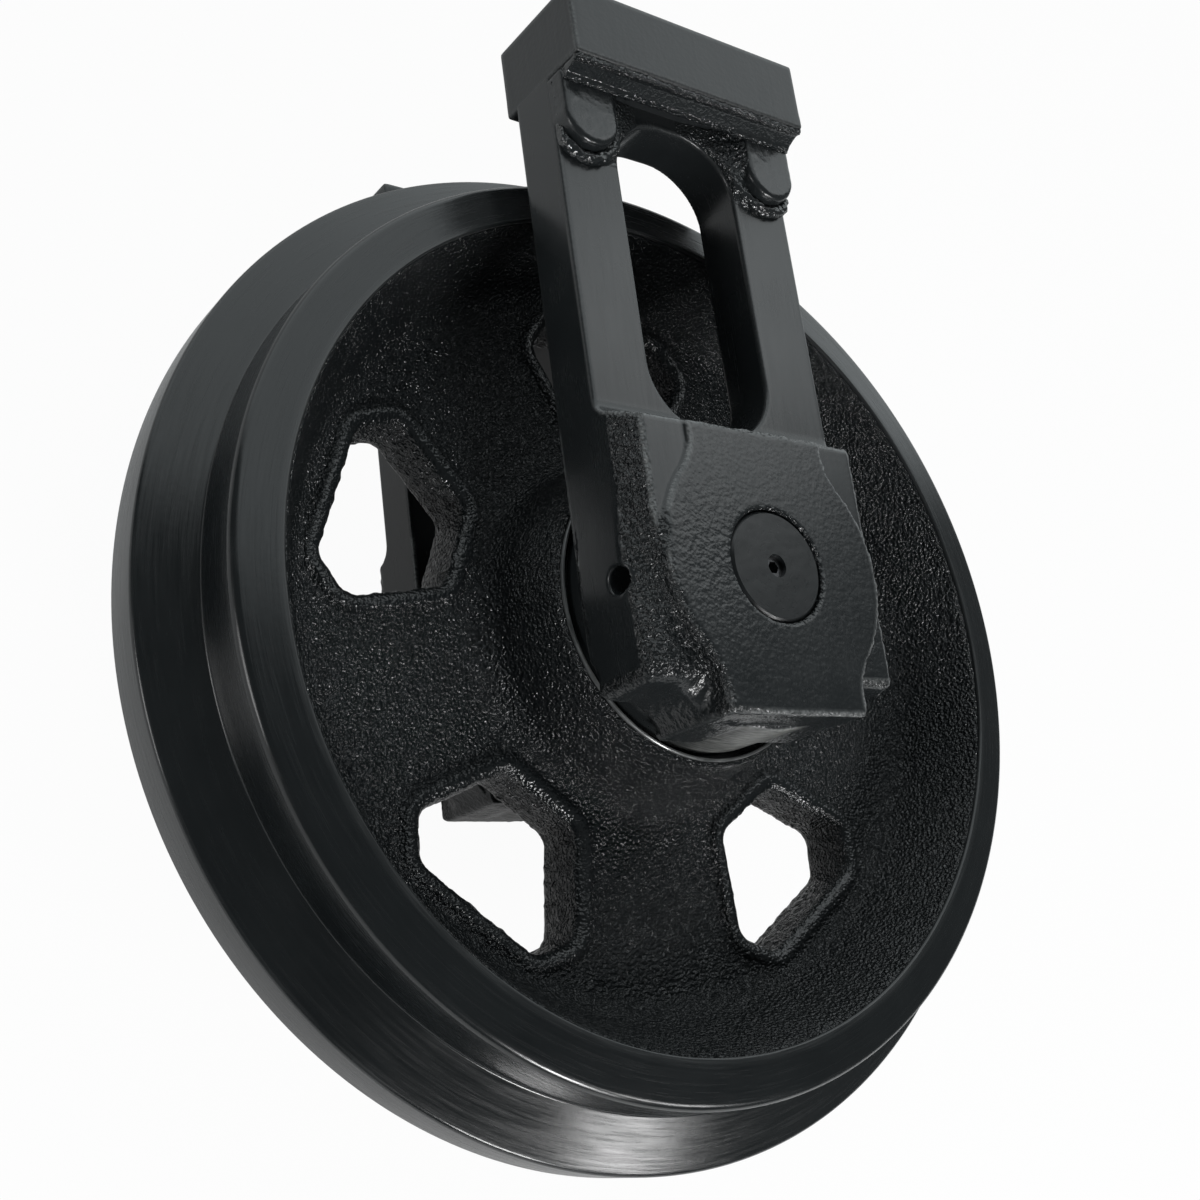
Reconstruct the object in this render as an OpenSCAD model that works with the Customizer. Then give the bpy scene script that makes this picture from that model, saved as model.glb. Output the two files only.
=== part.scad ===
// Excavator front idler: a flanged cast wheel on a fixed axle, held by two arm brackets.
// The axle lies along Z, the arms point along +Y, and the origin is the centre of the wheel.

/* [Wheel] */
// Diameter of the two treads that carry the track chain
tread_d = 430; // [400:1:470]
// Width of each tread
tread_w = 28.5; // [24:0.5:34]
// Height of the centre flange above the treads
flange_h = 24; // [16:0.5:30]
// Width of the centre flange at its crest
flange_w = 24; // [18:0.5:32]
// Width that each sloping flange side takes along the axle
flange_slope_w = 9.5; // [6:0.5:14]
// Rounding of the flange's crest
flange_round = 2.5; // [1.5:0.5:4]
// Radial thickness of the smooth rim face
rim_t = 21; // [17:0.5:25]
// How far the rim face rises from the tread edge to its inner edge
rim_rise = 4; // [2:0.5:6]
// Rounding of the rim's outer corner
rim_round = 4; // [2:0.5:6]
// Radial run of the sloping wall from the rim face down to the web
rim_slope_w = 20; // [16:0.5:24]
// Thickness of the cast web
web_t = 24; // [20:0.5:30]
// Fillet where the web meets the rim wall and the hub
web_fillet = 16; // [10:0.5:18]

/* [Hub] */
// Diameter of the hub at its faces
hub_d = 148; // [145:0.5:152]
// Width of the wheel over its hub faces
hub_w = 118; // [112:0.5:126]
// How much the hub's flank spreads out towards the web
hub_draft = 9; // [5:0.5:11]
// Chamfer of the hub's outer edge
hub_chamfer = 1; // [0.5:0.25:1.5]
// Diameter of the oil chamber between the bushes
oil_chamber_d = 76; // [66:1:84]
// Width of the oil chamber between the bushes
oil_chamber_w = 14; // [8:0.5:20]

/* [Windows] */
// Number of windows in the web
window_count = 5; // [4:1:5]
// Turn of the windows from the arms' direction, in degrees
window_turn = -3; // [-6:0.1:6]
// Corner rounding of a window
window_round = 9; // [7:0.5:10]
// Distance from the axle to a window's inner edge
window_inner = 100; // [98:0.5:104]
// Distance from the axle to a window's outer edge
window_outer = 159; // [155:0.5:161]
// Length of a window's straight inner edge
window_inner_w = 31; // [24:0.5:36]
// Length of a window's straight outer edge
window_outer_w = 56; // [46:0.5:60]
// Widest opening of a window
window_w = 87; // [78:0.5:90]
// Distance from a window's outer edge to its widest place
window_shoulder = 18; // [15:0.5:21]
// Width of the raised lip round a window
lip_w = 8; // [6:0.5:9]
// Height of the raised lip above the web
lip_h = 3; // [2:0.5:5]

/* [Axle and bushes] */
// Diameter of the axle
shaft_d = 50; // [46:0.5:52]
// How far the axle's ends lie below the boss faces
shaft_recess = 0.5; // [0.3:0.1:1.5]
// Chamfer of the axle's ends
shaft_chamfer = 1.5; // [0.5:0.25:2.5]
// Diameter of the oil drillings in the axle
oil_drill_d = 8; // [5:0.5:8]
// Wall of the bushes
bush_wall = 5; // [4:0.25:6]
// Diameter of the bush flanges
bush_flange_d = 72; // [68:0.5:76]
// Thickness of the bush flanges
bush_flange_t = 3; // [2:0.25:4]
// Running clearance between a shaft and its hole, on the radius
run_gap = 0.05; // [0.02:0.01:0.08]

/* [Seals] */
// Diameter of the pockets that hold the floating face seals
seal_pocket_d = 92; // [90:0.5:98]
// Depth of the seal pocket in the hub, below the guard recess
seal_pocket_h = 14; // [13:0.5:16]
// Depth of the seal pocket in the bracket, from the collar's nose
guard_pocket_h = 12.5; // [12:0.5:14]
// Bore of the seal rings
seal_ring_bore = 69; // [68:0.5:72]
// Wall of the seal rings behind their faces
seal_ring_wall = 3.5; // [3:0.25:4]
// Radial gap between the bracket's nose and the seal rings
nose_gap = 1.5; // [1:0.25:2]
// Width of each seal ring's running face
seal_face_w = 8; // [6:0.5:9]
// Thickness of each seal ring's face flange
seal_face_t = 3.4; // [2.5:0.1:4]
// Clearance between still pieces, and across the seal faces
seat_gap = 0.1; // [0.05:0.05:0.2]
// Thickness of the shaft O-rings
oring_t = 3.4; // [2.5:0.1:4]

/* [Bracket] */
// Width of the bracket and its head bar across the arms
bracket_w = 137; // [134:0.5:150]
// Thickness of the bracket slab
slab_t = 27.5; // [24:0.5:34]
// Gap between the hub face and the slab
hub_gap = 6; // [5:0.5:8]
// Distance from the axle down to the slab's lower end
slab_low = 50; // [48:0.5:54]
// Width of the opening between the arms
arm_window_w = 70; // [62:0.5:74]
// Distance from the axle to the bottom of that opening
arm_window_low = 70; // [69:0.5:76]
// Web left between that opening and the head bar
arm_bridge = 8; // [6:0.5:14]
// Corner rounding of that opening
arm_window_round = 30; // [20:0.5:30]
// Height of the boss face above the slab
boss_h = 22.5; // [20:0.5:28]
// How far the round boss stands above the block's shoulders
boss_step = 4.5; // [3:0.5:7]
// Diameter of the round boss
boss_d = 119; // [112:0.5:122]
// Width of the neck and foot bar that crosses the round boss
foot_w = 77; // [68:0.5:84]
// Distance from the axle down to the bottom of the foot
foot_low = 64.5; // [60:0.5:66]
// Distance from the axle up to the block's top edge at its shoulders
block_top = 63; // [61:0.5:66]
// How much the cast block tapers in on each side
block_draft = 7; // [4:0.5:9]
// Height of the block's straight sides above the arms, below its tapered walls
block_side_h = 7; // [4:0.5:10]
// Fillet between the arms and the cast block
block_fillet = 9; // [5:0.5:12]
// Rounding of the block's lower front edge
block_round = 9; // [5:0.5:12]
// Rounding of the block's front edges along the arms
block_edge = 4; // [2:0.5:6]
// Diameter of the guard collar that enters the hub
guard_d = 134; // [130:0.5:138]
// Height of the turned collar above the slab's back, where it stands out of the foot
guard_h = 32; // [20:0.5:34]
// Radial gap between the guard collar and the hub recess
guard_gap = 3; // [2:0.25:3.5]
// Depth of the hub recess that takes the guard collar
guard_recess_h = 7; // [6:0.5:8]
// Gap below the guard collar's end
guard_end_gap = 1.5; // [1:0.25:2]

/* [Head bar] */
// Distance from the axle to the underside of the head bar
head_y = 233.5; // [226:0.5:260]
// Height of the head bar along the arms
head_h = 36.5; // [34:0.5:50]
// How far the head bar reaches behind the slab
head_back = 7; // [4:0.5:12]
// Chamfer of the head bar's long edges
head_chamfer = 1.5; // [0.5:0.25:3]
// Distance between the yoke bolt holes across a head bar
yoke_bolt_spacing = 80; // [60:1:90]
// Tapping diameter of the yoke bolt holes
yoke_bolt_d = 14; // [10:0.5:17.5]
// Depth of the yoke bolt holes
yoke_bolt_h = 28; // [20:0.5:30]
// Width of the pads under the head bar
lug_w = 29; // [24:0.5:32]
// Length of the pads down the arms
lug_l = 43; // [36:0.5:60]
// Thickness of the pads
lug_t = 10; // [8:0.5:14]
// Radius of the weld bead under the head bar
head_bead = 5.2; // [4:0.1:5.5]
// Leg of the weld beads round the pads
lug_bead = 5.5; // [4:0.25:6.5]

/* [Lock pins and plug] */
// Diameter of the lock pins
pin_d = 14; // [10:0.5:16]
// Distance from the slab's back face to the lock pin's centre
pin_z = 29.5; // [17:0.5:32]
// How far the lock pins lie below the axle's axis, towards the foot
pin_y = 5.5; // [0:0.5:8]
// How far a lock pin lies below the bracket's side
pin_recess = 12; // [6:0.5:18]
// How deep a lock pin enters the axle
pin_bite = 13; // [10:0.5:14]
// Diameter of the oil plug
plug_d = 10; // [9:0.5:14]
// Length of the oil plug
plug_h = 9; // [7:0.5:14]
// How far the oil plug lies below the axle's end
plug_recess = 2.5; // [1:0.25:4]
// Width across flats of the oil plug's hexagon socket
plug_socket = 5; // [4:0.5:6]

/* [Hidden] */
$fn = 96;
cut = 1;
corner_steps = 5;

tread_r = tread_d / 2;
flange_r = tread_r + flange_h;
flange_foot_z = flange_w / 2 + flange_slope_w;
rim_z = flange_foot_z + tread_w;
rim_inner_r = tread_r - rim_t;
rim_inner_z = rim_z + rim_rise;
web_z = web_t / 2;
lip_z = web_z + lip_h;

shaft_r = shaft_d / 2;
bore_r = shaft_r + run_gap;
bush_r = bore_r + bush_wall;
hub_z = hub_w / 2;
hub_r = hub_d / 2;
seal_pocket_r = seal_pocket_d / 2;
guard_recess_z = hub_z - guard_recess_h;
bush_seat_z = guard_recess_z - seal_pocket_h;
bush_end_z = oil_chamber_w / 2;
bush_face_z = bush_seat_z + bush_flange_t;

guard_r = guard_d / 2;
guard_recess_r = guard_r + guard_gap;
guard_z = guard_recess_z + guard_end_gap;
seal_mid_z = (guard_recess_z + guard_z) / 2;
seal_ring_r = seal_ring_bore / 2;
seal_body_r = seal_ring_r + seal_ring_wall;
seal_face_r = seal_ring_r + seal_face_w;
seal_flange_z = seal_mid_z - seat_gap / 2 - seal_face_t;
toric_r = (seal_pocket_r - seal_body_r) / 2 - seat_gap;
toric_mid_r = (seal_pocket_r + seal_body_r) / 2;
toric_z = seal_flange_z - toric_r - seat_gap;
seal_ring_z = toric_z - toric_r;
nose_r = seal_ring_r - nose_gap;
nose_z = bush_face_z + seat_gap;

slab_z = hub_z + hub_gap;
slab_front_z = slab_z + slab_t;
boss_z = slab_front_z + boss_h;
shoulder_z = boss_z - boss_step;
bracket_x = bracket_w / 2;
boss_r = boss_d / 2;
guard_pocket_z = guard_z + guard_pocket_h;
block_h = boss_h - boss_step;
block_low_top = block_top + block_draft;
block_narrow_x = bracket_x - block_draft;
block_side_z = slab_front_z + block_side_h;
draft_a = atan2(block_draft, block_h);
side_draft_a = atan2(block_draft, shoulder_z - block_side_z);

shaft_z = boss_z - shaft_recess;
oring_r = oring_t / 2;
oring_mid_r = shaft_r + run_gap - oring_r - seat_gap / 2;
oring_groove_r = oring_mid_r - oring_r - seat_gap / 2;
oring_z = slab_z + oring_t * 2;
pin_mid_z = slab_z + pin_z;
pin_r = pin_d / 2;
pin_hole_r = pin_r + run_gap;
pin_tip_x = shaft_r - pin_bite;

head_top = head_y + head_h;
lug_r = lug_w / 2;
lug_x = bracket_x - lug_r;
lug_round_y = head_y - lug_l + lug_r;
lug_front_z = slab_front_z + lug_t;
head_bead_z = lug_front_z + head_bead;

paint = "#26282a";
cast_paint = "#1c1d1f";
weld_paint = "#303234";
steel = "#8f9499";
bronze = "#b08d4c";
rubber = "#141414";

// Points of an arc about c, from angle a to angle b
function arc(c, r, a, b, steps = corner_steps) =
    [for (i = [0:steps]) let (t = a + (b - a) * i / steps) c + r * [cos(t), sin(t)]];

// Direction of the edge from p to q, in degrees
function heading(p, q) = atan2(q[1] - p[1], q[0] - p[0]);

// Outline at distance r round a convex counter-clockwise core, with an arc at each corner
function rounded(core, r) =
    let (n = len(core))
    [for (i = [0:n - 1])
        let (
            a = heading(core[(i + n - 1) % n], core[i]) - 90,
            b = heading(core[i], core[(i + 1) % n]) - 90,
            turn = ((b - a) % 360 + 360) % 360
        )
        each arc(core[i], r, a, a + turn)];

// Core of a window in the web: radial distance, then distance across
function window_core() =
    let (
        inner = window_inner + window_round,
        wide = window_outer - window_shoulder,
        outer = window_outer - window_round,
        half = window_w / 2 - window_round
    )
    [
        [inner, -window_inner_w / 2], [wide, -half], [outer, -window_outer_w / 2],
        [outer, window_outer_w / 2], [wide, half], [inner, window_inner_w / 2]
    ];

module mirrored_far() mirror([0, 0, 1]) children();

module tube(r_out, r_in, z_low, z_high)
    translate([0, 0, z_low])
        difference() {
            cylinder(r = r_out, h = z_high - z_low);
            translate([0, 0, -cut]) cylinder(r = r_in, h = z_high - z_low + 2 * cut);
        }

module drill(r, z_low, z_high)
    translate([0, 0, z_low]) cylinder(r = r, h = z_high - z_low);

// Half section of the wheel, from the middle plane to the near side
module wheel_half_section() {
    fillet_z = web_z + web_fillet;
    hub_a = atan2(hub_draft, hub_z - web_z);
    hub_fillet_r = hub_r + (hub_z - hub_chamfer - fillet_z) * tan(hub_a) + web_fillet / cos(hub_a);
    rim_a = atan2(rim_slope_w, rim_inner_z - web_z);
    rim_fillet_r = rim_inner_r - (rim_inner_z - fillet_z) * tan(rim_a) - web_fillet / cos(rim_a);
    face_a = atan2(rim_rise, rim_t);
    corner_z = rim_z - rim_round + rim_round * tan(face_a);
    flange_a = atan2(flange_h, flange_slope_w);
    polygon(concat(
        [
            [oil_chamber_d / 2, 0], [oil_chamber_d / 2, bush_end_z], [bush_r, bush_end_z],
            [bush_r, bush_seat_z], [seal_pocket_r, bush_seat_z], [seal_pocket_r, guard_recess_z],
            [guard_recess_r, guard_recess_z], [guard_recess_r, hub_z],
            [hub_r - hub_chamfer, hub_z], [hub_r, hub_z - hub_chamfer]
        ],
        arc([hub_fillet_r, fillet_z], web_fillet, 180 + hub_a, 270),
        arc([rim_fillet_r, fillet_z], web_fillet, 270, 360 - rim_a),
        [[rim_inner_r, rim_inner_z]],
        arc([tread_r - rim_round, corner_z], rim_round, 90 - face_a, 0),
        [[tread_r, flange_foot_z]],
        arc([flange_r - flange_round, flange_w / 2 - flange_round], flange_round, flange_a, 0),
        [[flange_r, 0]]
    ));
}

module window_prism(grow, z)
    linear_extrude(2 * z, center = true)
        polygon(rounded(window_core(), window_round + grow));

module each_window()
    for (i = [0:window_count - 1])
        rotate(90 + window_turn + 360 * i / window_count) children();

module idler_wheel()
    color(cast_paint)
        difference() {
            union() {
                rotate_extrude() wheel_half_section();
                mirrored_far() rotate_extrude() wheel_half_section();
                each_window() window_prism(lip_w, lip_z);
            }
            each_window() window_prism(0, lip_z + cut);
        }

module axle_shaft()
    color(steel)
        difference() {
            rotate_extrude()
                polygon([
                    [0, -shaft_z], [shaft_r - shaft_chamfer, -shaft_z], [shaft_r, -shaft_z + shaft_chamfer],
                    [shaft_r, shaft_z - shaft_chamfer], [shaft_r - shaft_chamfer, shaft_z], [0, shaft_z]
                ]);
            for (side = [-1, 1]) {
                translate([0, 0, side * oring_z])
                    tube(shaft_r + cut, oring_groove_r, -oring_r - seat_gap, oring_r + seat_gap);
                translate([0, 0, side * pin_mid_z]) pin_hole(pin_tip_x);
            }
            drill(oil_drill_d / 2, 0, shaft_z);
            rotate([90, 0, 0]) drill(oil_drill_d / 2, -shaft_d, shaft_d);
            drill(plug_d / 2 + seat_gap, shaft_z - plug_recess - plug_h, shaft_z + cut);
        }

module oil_plug()
    color(steel)
        difference() {
            drill(plug_d / 2, shaft_z - plug_recess - plug_h + seat_gap, shaft_z - plug_recess);
            translate([0, 0, shaft_z - plug_recess - plug_h / 2])
                cylinder(d = plug_socket / cos(30), h = plug_h, $fn = 6);
        }

// Hole for a lock pin, from the bracket's -X side to the given distance from the axle's middle
module pin_hole(tip_x)
    translate([-tip_x, -pin_y, 0]) rotate([0, -90, 0]) cylinder(r = pin_hole_r, h = bracket_w);

module near_lock_pin()
    color(steel)
        translate([-pin_tip_x - seat_gap, -pin_y, pin_mid_z])
            rotate([0, -90, 0]) cylinder(r = pin_r, h = bracket_x - pin_recess - pin_tip_x - seat_gap);

// Outline of the opening between the arms
module arm_window() {
    x = arm_window_w / 2 - arm_window_round;
    low = arm_window_low + arm_window_round;
    high = head_y - arm_bridge - arm_window_round;
    polygon(rounded([[-x, low], [x, low], [x, high], [-x, high]], arm_window_round));
}

module slab()
    translate([-bracket_x, -slab_low, slab_z]) cube([bracket_w, head_y + slab_low, slab_t]);

// Cast block on the slab as seen along the arms: distance across, then height
function block_end_view() =
    let (
        reach = block_edge * tan((90 - side_draft_a) / 2),
        x = block_narrow_x - reach,
        z = shoulder_z - block_edge
    )
    concat(
        [[-bracket_x, slab_z], [bracket_x, slab_z], [bracket_x, block_side_z]],
        arc([x, z], block_edge, side_draft_a, 90),
        arc([-x, z], block_edge, 90, 180 - side_draft_a),
        [[-bracket_x, block_side_z]]
    );

// The same block as seen from the side: distance along the arms, then height
function block_side_view() =
    let (fillet_y = block_low_top + block_fillet * tan((90 - draft_a) / 2))
    concat(
        [[-slab_low, slab_z], [fillet_y, slab_z]],
        arc([fillet_y, slab_front_z + block_fillet], block_fillet, 270, 180 + draft_a),
        [[block_top, shoulder_z]],
        arc([block_round - slab_low, shoulder_z - block_round], block_round, 90, 180)
    );

module boss_block()
    intersection() {
        translate([0, head_y, 0])
            rotate([90, 0, 0]) linear_extrude(head_y + slab_low) polygon(block_end_view());
        translate([-bracket_x, 0, 0])
            rotate([90, 0, 90]) linear_extrude(bracket_w) polygon(block_side_view());
    }

// Straight bar that crosses the round boss: the neck above it and the foot below it
module neck_and_foot()
    translate([-foot_w / 2, -foot_low, slab_z])
        cube([foot_w, foot_low + block_top - block_draft * boss_step / block_h, boss_z - slab_z]);

module near_bracket()
    color(paint)
        difference() {
            union() {
                slab();
                boss_block();
                drill(boss_r, slab_z, boss_z);
                neck_and_foot();
                drill(guard_r, guard_z, slab_z + guard_h);
                drill(nose_r, nose_z, slab_z);
            }
            translate([0, 0, slab_z - cut]) linear_extrude(block_h + slab_t) arm_window();
            tube(seal_pocket_r, nose_r, guard_z - cut, guard_pocket_z);
            drill(bore_r, nose_z - cut, boss_z + cut);
            translate([0, 0, boss_z - shaft_chamfer])
                cylinder(r1 = bore_r, r2 = bore_r + shaft_chamfer + cut, h = shaft_chamfer + cut);
            translate([0, 0, pin_mid_z]) pin_hole(0);
        }

module near_head_bar() {
    low_z = slab_z - head_back;
    c = head_chamfer;
    color(paint)
        difference() {
            translate([-bracket_x, 0, 0])
                rotate([90, 0, 90])
                    linear_extrude(bracket_w)
                        polygon([
                            [head_y, low_z + c], [head_y + c, low_z], [head_top - c, low_z], [head_top, low_z + c],
                            [head_top, boss_z - c], [head_top - c, boss_z], [head_y + c, boss_z], [head_y, boss_z - c]
                        ]);
            for (side = [-1, 1])
                translate([side * yoke_bolt_spacing / 2, head_top + cut, (low_z + boss_z) / 2])
                    rotate([90, 0, 0]) cylinder(d = yoke_bolt_d, h = yoke_bolt_h + cut);
        }
}

module each_lug()
    for (side = [0, 1]) mirror([side, 0, 0]) translate([lug_x, 0, slab_front_z]) children();

module near_lugs()
    color(paint)
        each_lug()
            linear_extrude(lug_t) {
                translate([0, lug_round_y]) circle(lug_r);
                translate([-lug_r, lug_round_y]) square([lug_w, head_y - lug_round_y]);
            }

module near_head_weld()
    color(weld_paint)
        intersection() {
            translate([-bracket_x, head_y, head_bead_z])
                rotate([0, 90, 0]) cylinder(r = head_bead, h = bracket_w);
            translate([-bracket_x, head_y - head_bead, lug_front_z])
                cube([bracket_w, head_bead, 2 * head_bead]);
        }

// Quarter-round bead in the corner between a pad's edge and the slab
module bead_section()
    intersection() {
        circle(lug_bead);
        square(lug_bead);
    }

module near_lug_welds()
    color(weld_paint)
        intersection() {
            each_lug()
                translate([0, lug_round_y, 0]) {
                    rotate([0, 0, 180])
                        rotate_extrude(angle = 180) translate([lug_r, 0]) bead_section();
                    translate([-lug_r, head_y - lug_round_y, 0])
                        rotate([90, 0, 0]) mirror([1, 0, 0]) linear_extrude(head_y - lug_round_y) bead_section();
                }
            translate([-bracket_x, 0, slab_front_z]) cube([bracket_w, head_top, lug_t]);
        }

module near_bush()
    color(bronze) {
        tube(bush_r, bore_r, bush_end_z, bush_seat_z);
        tube(bush_flange_d / 2, bore_r, bush_seat_z, bush_face_z);
    }

// Ring of a floating face seal, below the seal's middle plane
module seal_ring()
    rotate_extrude()
        polygon([
            [seal_ring_r, seal_ring_z], [seal_body_r, seal_ring_z], [seal_body_r, seal_flange_z],
            [seal_face_r, seal_flange_z], [seal_face_r, seal_mid_z - seat_gap / 2],
            [seal_ring_r, seal_mid_z - seat_gap / 2]
        ]);

module toric_ring()
    rotate_extrude() translate([toric_mid_r, toric_z]) circle(toric_r);

// Turns a piece of the rotating half of a seal over, to the fixed half
module fixed_half()
    translate([0, 0, 2 * seal_mid_z]) mirror([0, 0, 1]) children();

module near_rotating_seal_ring() color(steel) seal_ring();
module near_fixed_seal_ring() color(steel) fixed_half() seal_ring();
module near_rotating_toric_ring() color(rubber) toric_ring();
module near_fixed_toric_ring() color(rubber) fixed_half() toric_ring();

module near_shaft_oring()
    color(rubber)
        rotate_extrude() translate([oring_mid_r, oring_z]) circle(oring_r);

module far_bracket() mirrored_far() near_bracket();
module far_head_bar() mirrored_far() near_head_bar();
module far_lugs() mirrored_far() near_lugs();
module far_head_weld() mirrored_far() near_head_weld();
module far_lug_welds() mirrored_far() near_lug_welds();
module far_lock_pin() mirrored_far() near_lock_pin();
module far_bush() mirrored_far() near_bush();
module far_rotating_seal_ring() mirrored_far() near_rotating_seal_ring();
module far_fixed_seal_ring() mirrored_far() near_fixed_seal_ring();
module far_rotating_toric_ring() mirrored_far() near_rotating_toric_ring();
module far_fixed_toric_ring() mirrored_far() near_fixed_toric_ring();
module far_shaft_oring() mirrored_far() near_shaft_oring();

idler_wheel();
axle_shaft();
oil_plug();
near_bracket();
far_bracket();
near_head_bar();
far_head_bar();
near_lugs();
far_lugs();
near_head_weld();
far_head_weld();
near_lug_welds();
far_lug_welds();
near_lock_pin();
far_lock_pin();
near_bush();
far_bush();
near_rotating_seal_ring();
far_rotating_seal_ring();
near_fixed_seal_ring();
far_fixed_seal_ring();
near_rotating_toric_ring();
far_rotating_toric_ring();
near_fixed_toric_ring();
far_fixed_toric_ring();
near_shaft_oring();
far_shaft_oring();
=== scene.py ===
import math

import bpy
import numpy as np
import openvdb as vdb
from mathutils import Matrix, Vector, noise

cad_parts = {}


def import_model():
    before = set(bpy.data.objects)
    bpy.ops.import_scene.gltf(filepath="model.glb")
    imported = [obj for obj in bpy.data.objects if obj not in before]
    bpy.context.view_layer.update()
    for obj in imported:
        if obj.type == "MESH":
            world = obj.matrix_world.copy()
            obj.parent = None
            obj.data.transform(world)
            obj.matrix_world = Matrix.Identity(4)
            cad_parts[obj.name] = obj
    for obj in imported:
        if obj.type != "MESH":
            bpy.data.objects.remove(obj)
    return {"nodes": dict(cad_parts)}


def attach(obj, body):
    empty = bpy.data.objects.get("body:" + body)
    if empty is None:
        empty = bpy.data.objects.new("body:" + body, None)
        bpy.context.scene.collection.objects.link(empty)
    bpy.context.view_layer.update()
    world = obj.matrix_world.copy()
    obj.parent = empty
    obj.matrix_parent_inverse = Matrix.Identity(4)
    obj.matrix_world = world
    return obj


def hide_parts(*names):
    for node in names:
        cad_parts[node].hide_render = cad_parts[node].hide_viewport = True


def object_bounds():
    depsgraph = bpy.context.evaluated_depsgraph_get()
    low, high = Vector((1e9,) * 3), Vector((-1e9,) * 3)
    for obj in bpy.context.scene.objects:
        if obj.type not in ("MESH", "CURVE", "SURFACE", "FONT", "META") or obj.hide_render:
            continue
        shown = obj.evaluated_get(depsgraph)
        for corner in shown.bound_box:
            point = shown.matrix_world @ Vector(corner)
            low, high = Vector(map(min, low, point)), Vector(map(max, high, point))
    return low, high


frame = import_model()
cad_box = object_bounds()

MM = 0.001

# Wheel's sizes in millimetres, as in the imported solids
TREAD_R = 215.0
FLANGE_R = 239.0
FLANGE_HALF_W = 12.0
FLANGE_FOOT_Z = 21.5
FLANGE_ROUND = 2.5
RIM_Z = 50.0
RIM_INNER_R = 194.0
RIM_INNER_Z = 54.0
RIM_ROUND = 4.0
RIM_SLOPE_W = 20.0
WEB_Z = 12.0
WEB_FILLET = 16.0
HUB_R = 74.0
HUB_Z = 59.0
HUB_DRAFT = 9.0
HUB_CHAMFER = 1.0
WINDOW_COUNT = 5
WINDOW_TURN = -3.0
WINDOW_ROUND = 9.0
WINDOW_INNER = 100.0
WINDOW_OUTER = 159.0
WINDOW_INNER_W = 31.0
WINDOW_OUTER_W = 56.0
WINDOW_W = 87.0
WINDOW_SHOULDER = 18.0
LIP_W = 8.0
LIP_Z = 15.0
BUSH_R = 30.05
OIL_CHAMBER_R = 38.0
OIL_CHAMBER_HALF_W = 7.0
SEAL_POCKET_R = 46.0
BUSH_SEAT_Z = 38.0
GUARD_RECESS_R = 70.0
GUARD_RECESS_Z = 52.0

# Near bracket's sizes in millimetres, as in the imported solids
GUARD_R = 67.0
GUARD_Z = 53.5
GUARD_POCKET_Z = 66.0
GUARD_TOP_Z = 97.0
NOSE_R = 33.0
NOSE_Z = 41.1
BORE_R = 25.05
BRACKET_X = 68.5
SLAB_Z = 65.0
SLAB_FRONT_Z = 92.5
SLAB_LOW = -50.0
SHOULDER_Z = 110.5
BOSS_Z = 115.0
BOSS_R = 59.5
BLOCK_TOP = 63.0
BLOCK_DRAFT = 7.0
BLOCK_LOW_TOP = BLOCK_TOP + BLOCK_DRAFT
BLOCK_SIDE_Z = 99.5
FOOT_X = 38.5
FOOT_LOW = -64.5
ARM_WINDOW_X = 35.0
ARM_WINDOW_LOW = 70.0
ARM_WINDOW_HIGH = 225.5
ARM_WINDOW_ROUND = 30.0
PIN_Y = -5.5
PIN_Z = 94.5
PIN_HOLE_R = 7.05
PIN_MOUTH_R = 6.0
PIN_END_X = -56.5
HEAD_Y = 233.5
HEAD_TOP = 270.0
HEAD_BACK_Z = 58.0
YOKE_HOLE_X = 40.0
YOKE_HOLE_R = 7.0
YOKE_HOLE_H = 28.0
LUG_X = 54.0
LUG_R = 14.5
LUG_FRONT_Z = 102.5

# Pads and beads as the photograph shows them, in millimetres
LUG_ROUND_Y = 212.5
LUG_WELD = 5.2
HEAD_WELD_Z = 112.6
HEAD_WELD_Y = 228.6

# Camera of the photograph, in the part's frame
CAMERA_AT = (-0.42547, -0.18076, 0.53639)
CAMERA_RIGHT = (0.80452, -0.12752, 0.58008)
CAMERA_DOWN = (0.06847, -0.95026, -0.30385)
CAMERA_AHEAD = (0.58997, 0.28417, -0.75577)
CAMERA_LENS = 44.313
CAMERA_SENSOR = 36.0
CAMERA_NEAREST = 0.01

# Unevenness as layers of (height, width of the lumps, seed), in millimetres
SEED_SHIFT = (17.3, 5.1, 9.7)
WEB_LUMPS = ((0.22, 9.0, 1), (0.12, 4.2, 2))
WINDOW_LUMPS = ((0.8, 3.2, 11),)
BLOCK_LUMPS = ((0.5, 5.0, 3), (0.5, 2.6, 4))
LUG_LUMPS = ((0.15, 4.0, 5),)
HEAD_WELD_RIPPLES = ((0.6, 2.0, 6), (0.6, 1.2, 7))
LUG_WELD_RIPPLES = ((0.9, 2.6, 8), (0.3, 1.5, 9))
RUNOUT_RIPPLES = ((0.4, 1.5, 9),)


# Solid shapes as signed distances

class Field:
    """Sample points of a box with a margin on each axis, in millimetres."""

    def __init__(self, low, high, step, margin):
        low, high = np.subtract(low, margin), np.add(high, margin)
        self.low, self.step = low, step
        axes = [np.arange(a, b + step, step, dtype=np.float32) for a, b in zip(low, high)]
        self.x, self.y, self.z = (
            axis.reshape([-1 if i == k else 1 for i in range(3)]) for k, axis in enumerate(axes)
        )
        self.shape = [len(axis) for axis in axes]

    def mesh(self, name, dist):
        """The closed surface where dist is zero."""
        full = np.broadcast_to(dist, self.shape).astype(np.float32)
        band = 3 * self.step
        grid = vdb.FloatGrid(band)
        grid.copyFromArray(np.ascontiguousarray(np.clip(full, -band, band)))
        points, quads = grid.convertToQuads()
        return mesh_of(name, points.astype(float) * self.step + self.low, quads)


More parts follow.
